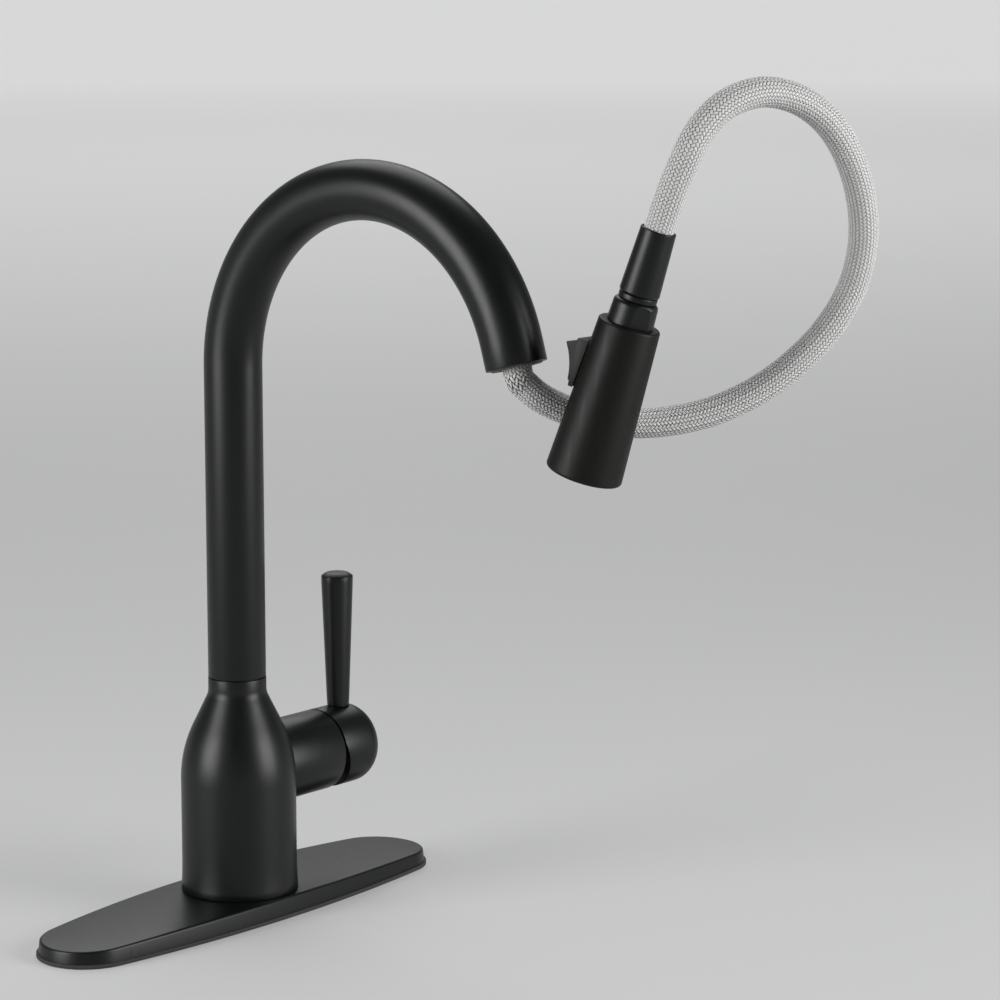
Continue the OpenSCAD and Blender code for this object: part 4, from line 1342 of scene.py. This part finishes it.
# ---------- base, side arm and handle ----------
@dataclass
class Base(SubAssembly):
    """The bottle-shaped base with its side arm."""

    foot_r: float = 29.6
    radius: float = 29.0
    foot_z: float = 10.6
    foot_edge: float = 0.5
    flare_z: float = 28.0
    flare_steps: int = 5
    shoulder_z: float = 67.7
    shoulder_r: float = 64.0
    cone_angle: float = 26.0
    neck_r: float = 14.6
    neck_fillet: float = 9.5
    neck_straight: float = 5.8
    seam_z: float = 120.0
    wall: float = 3.0
    hub_r: float = 12.05
    hub_z: float = 88.0
    arm_z: float = 71.2
    arm_r: float = 20.8
    arm_start: float = 18.0
    arm_floor: float = 24.0
    arm_end: float = 58.0
    arm_wall: float = 3.2
    shell_edge: float = 0.0003
    arm_edge: float = 0.0006

    @property
    def arm_place(self) -> Matrix:
        """Lays an upright shape along the arm."""
        return Matrix.Translation(v(0, 0, self.arm_z)) @ Matrix.Rotation(math.radians(90), 4, "Y")

    def shell(self) -> Piece:
        """Turns the base: flared foot, straight side, round shoulder, cone and neck, with its wall inside.

        Returns:
            The base's cover.
        """
        low, side, round_r = self.foot_z + self.foot_edge, self.radius, self.shoulder_r
        flare = []
        for t in (i / self.flare_steps for i in range(self.flare_steps + 1)):
            flare.append((side + (self.foot_r - side) * (1 - t) ** 2, low + (self.flare_z - low) * t))
        shoulder = arc((side - round_r, self.shoulder_z), round_r, 0, self.cone_angle, 20)
        fillet_at = (self.neck_r + self.neck_fillet, self.seam_z - self.neck_straight)
        fillet = arc(fillet_at, self.neck_fillet, 180 + self.cone_angle, 180, 8)
        outside = [(self.foot_r - 0.35, self.foot_z), *flare, *shoulder, *fillet, (self.neck_r, self.seam_z)]
        inner = side - self.wall
        inside = [(self.hub_r, self.seam_z), (self.hub_r, self.hub_z), (16.0, self.hub_z)]
        inside += [(inner, self.shoulder_z - 1), (inner, self.foot_z), outside[0]]
        return soften(turned("base_cover", outside + inside, sides=160), self.shell_edge, angle=40)

    def arm(self) -> Piece:
        """Turns the side arm about its own axis, open at its outer end.

        Returns:
            The arm.
        """
        bore, edge, low, end = self.arm_r - self.arm_wall, self.arm_r, self.arm_floor, self.arm_end
        profile = [(bore, low), (bore, end), (edge, end), (edge, self.arm_start), (3.0, self.arm_start)]
        profile += [(3.0, low), (bore, low)]
        return soften(turned("side_arm", profile, self.arm_place), self.arm_edge)

    def pieces(self) -> list[Row]:
        """Models base and arm.

        Returns:
            Each piece with its body, node and finish.
        """
        return [
            (self.shell(), "base", "base_body", "black_coat"),
            (self.arm(), "base", "valve_arm", "black_coat"),
        ]


@dataclass
class Handle(SubAssembly):
    """The domed end of the arm and its upright lever."""

    base: Base
    gap: float = 0.9
    dome_len: float = 29.6
    edge_r: float = 10.5
    socket_r: float = 9.0
    socket_depth: float = 8.0
    relief_angle: float = 13.7
    relief_above: float = 6.3
    lever_x: float = 16.3
    lever_top: float = 162.0
    foot_r: float = 5.6
    tip_r: float = 8.2
    pin_r: float = 3.0
    sink: float = 0.8
    dome_edge: float = 0.0005
    lever_edge: float = 0.0003

    @property
    def seat_z(self) -> float:
        """Height of the lever's seat in the dome."""
        return self.base.arm_z + self.base.arm_r - self.sink

    @property
    def lever_place(self) -> Matrix:
        """Moves an upright shape to the lever's axis."""
        return Matrix.Translation(v(self.base.arm_end + self.lever_x, 0, 0))

    def dome(self) -> Piece:
        """Turns the dome, slopes its underside and bores the lever's seat.

        Returns:
            The handle's cap.
        """
        r, low = self.base.arm_r, self.base.arm_end + self.gap
        crown, floor = low + self.dome_len, low + self.socket_depth
        profile = [(self.socket_r, low), (r, low), (r, crown - self.edge_r)]
        profile += arc((r - self.edge_r, crown - self.edge_r), self.edge_r, 0, 90, 20)[1:]
        profile += [(0.01, crown), (0.01, floor), (self.socket_r, floor), (self.socket_r, low)]
        obj = turned("handle_cap", profile, self.base.arm_place)
        lean = math.radians(self.relief_angle)
        normal = Vector((-math.cos(lean), 0, -math.sin(lean)))
        slice_off(obj, v(low, 0, self.base.arm_z + self.relief_above), normal)
        hole_r = self.foot_r + 0.5
        hole = [(hole_r, self.seat_z), (hole_r, self.seat_z + 12)]
        cut_away(obj, turned("seat", hole, self.lever_place, sides=96))
        return soften(obj, self.dome_edge, angle=30)

    def lever(self) -> Piece:
        """Turns the lever, which swells towards its chamfered top.

        Returns:
            The rod.
        """
        seat, top, foot, tip = self.seat_z, self.lever_top, self.foot_r, self.tip_r
        profile = [(self.pin_r, seat - 9.8), (self.pin_r, seat + 0.05), (foot - 0.9, seat + 0.05)]
        profile += arc((foot - 0.9, seat + 1.0), 0.95, -90, 0, 6)[1:]
        profile += [(foot + 0.25, seat + 4), ((foot + tip) / 2 + 0.15, seat + 36), (tip - 0.05, top - 5)]
        profile += [(tip, top - 1.6), (tip - 2.2, top - 0.1), (tip - 2.6, top)]
        return soften(turned("lever_rod", profile, self.lever_place), self.lever_edge, angle=30)

    def pieces(self) -> list[Row]:
        """Models dome and lever.

        Returns:
            Each piece with its body, node and finish.
        """
        return [
            (self.dome(), "handle", "handle_dome", "black_coat"),
            (self.lever(), "handle", "lever", "black_coat"),
        ]


# ---------- deck plate ----------
@dataclass
class DeckPlate(SubAssembly):
    """The long plate under the base, with drafted sides, a soft top edge and a slightly arched top."""

    length: float = 260.0
    width: float = 67.0
    end_r: float = 25.7
    end_steps: int = 40
    side_steps: int = 84
    lip: float = 1.0
    foot_z: float = 2.0
    top_z: float = 10.6
    arch: float = 2.6
    wall: float = 2.5
    draft: float = 0.7
    edge_r: float = 1.4
    edge_steps: int = 5
    bore_r: float = 17.0
    window_x: float = 57.4
    window_len: float = 52.2
    window_wid: float = 23.4
    strips: int = 52
    pad_edge: float = 0.0003

    def trace(self, name: str, inset: float, z: float) -> Piece:
        """Spins one vertex round the four arcs of the outline.

        Args:
            name: the piece's name.
            inset: how far inside the pad's edge the outline lies.
            z: height of the outline.

        Returns:
            The closed outline, left open for editing.
        """
        end_c = self.length / 2 - self.end_r
        half = self.width / 2
        side_r = (end_c**2 / (half - self.end_r) + self.end_r + half) / 2
        lean = math.atan2(end_c, side_r - half)
        end_turn = 2 * (math.pi / 2 - lean)
        radius = self.end_r - inset
        obj = first_point(name, v(end_c + radius * math.sin(lean), -radius * math.cos(lean), z))
        end, side = (end_turn, self.end_steps), (2 * lean, self.side_steps)
        rows = [(end_c, 0, *end), (0, half - side_r, *side), (-end_c, 0, *end), (0, side_r - half, *side)]
        for x, y, turn, steps in rows:
            bpy.ops.mesh.spin(steps=steps, angle=turn, center=v(x, y, z), axis=(0, 0, -1))
        bpy.ops.mesh.select_all(action="SELECT")
        bpy.ops.mesh.remove_doubles(threshold=SPUN_DOUBLES)
        return obj

    def cut_bore(self, obj: Piece, low: float, high: float) -> None:
        """Cuts the shank's hole between two heights."""
        cut_away(obj, turned("bore", [(self.bore_r, low), (self.bore_r, high)], sides=96))

    def bow(self, obj: Piece) -> None:
        """Arches the plate, most at its top and not at its foot.

        Args:
            obj: the closed plate.
        """
        arch_r = (self.length**2 / 4 + self.arch**2) / (2 * self.arch)
        for vert in obj.data.vertices:
            share = (vert.co.z / MM - self.foot_z) / (self.top_z - self.foot_z)
            x = vert.co.x / MM
            vert.co.z -= max(share, 0) * (arch_r - math.sqrt(arch_r**2 - x**2)) * MM

    def shell(self) -> Piece:
        """Draws the outline up, rounds its top edge, arches it and gives it a wall and the shank's hole.

        Returns:
            The plate.
        """
        obj = self.trace("deck_cover", self.lip, self.foot_z)
        draw_out(0, 0, (self.top_z - self.foot_z) * MM)
        shrink = (1 - 2 * self.draft / self.length, 1 - 2 * self.draft / self.width, 1)
        bpy.ops.transform.resize(value=shrink, center_override=(0, 0, self.top_z * MM))
        bpy.ops.mesh.edge_face_add()
        pick_edges(obj, lambda a, b: min(a.z, b.z) > (self.top_z - 0.01) * MM)
        bpy.ops.mesh.bevel(offset=self.edge_r * MM, segments=self.edge_steps, profile=0.5, affect="EDGES")
        for i in range(1, self.strips):
            x = (i / self.strips - 0.5) * self.length * MM
            bpy.ops.mesh.select_all(action="SELECT")
            bpy.ops.mesh.bisect(plane_co=(x, 0, 0), plane_no=(1, 0, 0))
        close_mesh()
        self.bow(obj)
        thicken(obj, self.wall)
        self.cut_bore(obj, 0.5, 14.0)
        shade(obj)
        return obj

    def pad(self) -> Piece:
        """Draws the rubber pad that shows as a band under the plate, with its windows and the hole.

        Returns:
            The pad.
        """
        obj = self.trace("deck_pad", 0, 0)
        bpy.ops.mesh.edge_face_add()
        draw_out(0, 0, self.foot_z * MM)
        close_mesh()
        soften(obj, self.pad_edge, 2, 40)
        low, high = -1.0, 4.0
        self.cut_bore(obj, low, high)
        for side in (-1, 1):
            near, far = (side * (self.window_x + way * self.window_len / 2) for way in (-1, 1))
            outline = [(near, low), (far, low), (far, high), (near, high)]
            cut_away(obj, prism("window", outline[::side], self.window_wid / 2, Matrix()))
        return obj

    def pieces(self) -> list[Row]:
        """Models plate and pad.

        Returns:
            Each piece with its body, node and finish.
        """
        return [
            (self.shell(), "base", "deck_plate", "black_coat"),
            (self.pad(), "base", "deck_gasket", "seal_rubber"),
        ]


def main() -> None:
    """Builds the studio and the faucet's sub-assemblies in order."""
    logging.basicConfig(level=logging.INFO, format="%(name)s %(message)s")
    Studio().build()
    finishes = Finishes()
    finishes.dress_frame(frame["record"])
    spout, base = Spout(), Base()
    head = SprayHead(spout)
    for part in (head, Hose(spout, head), spout, base, Handle(base), DeckPlate()):
        part.build(finishes)


if __name__ == "__main__":
    main()
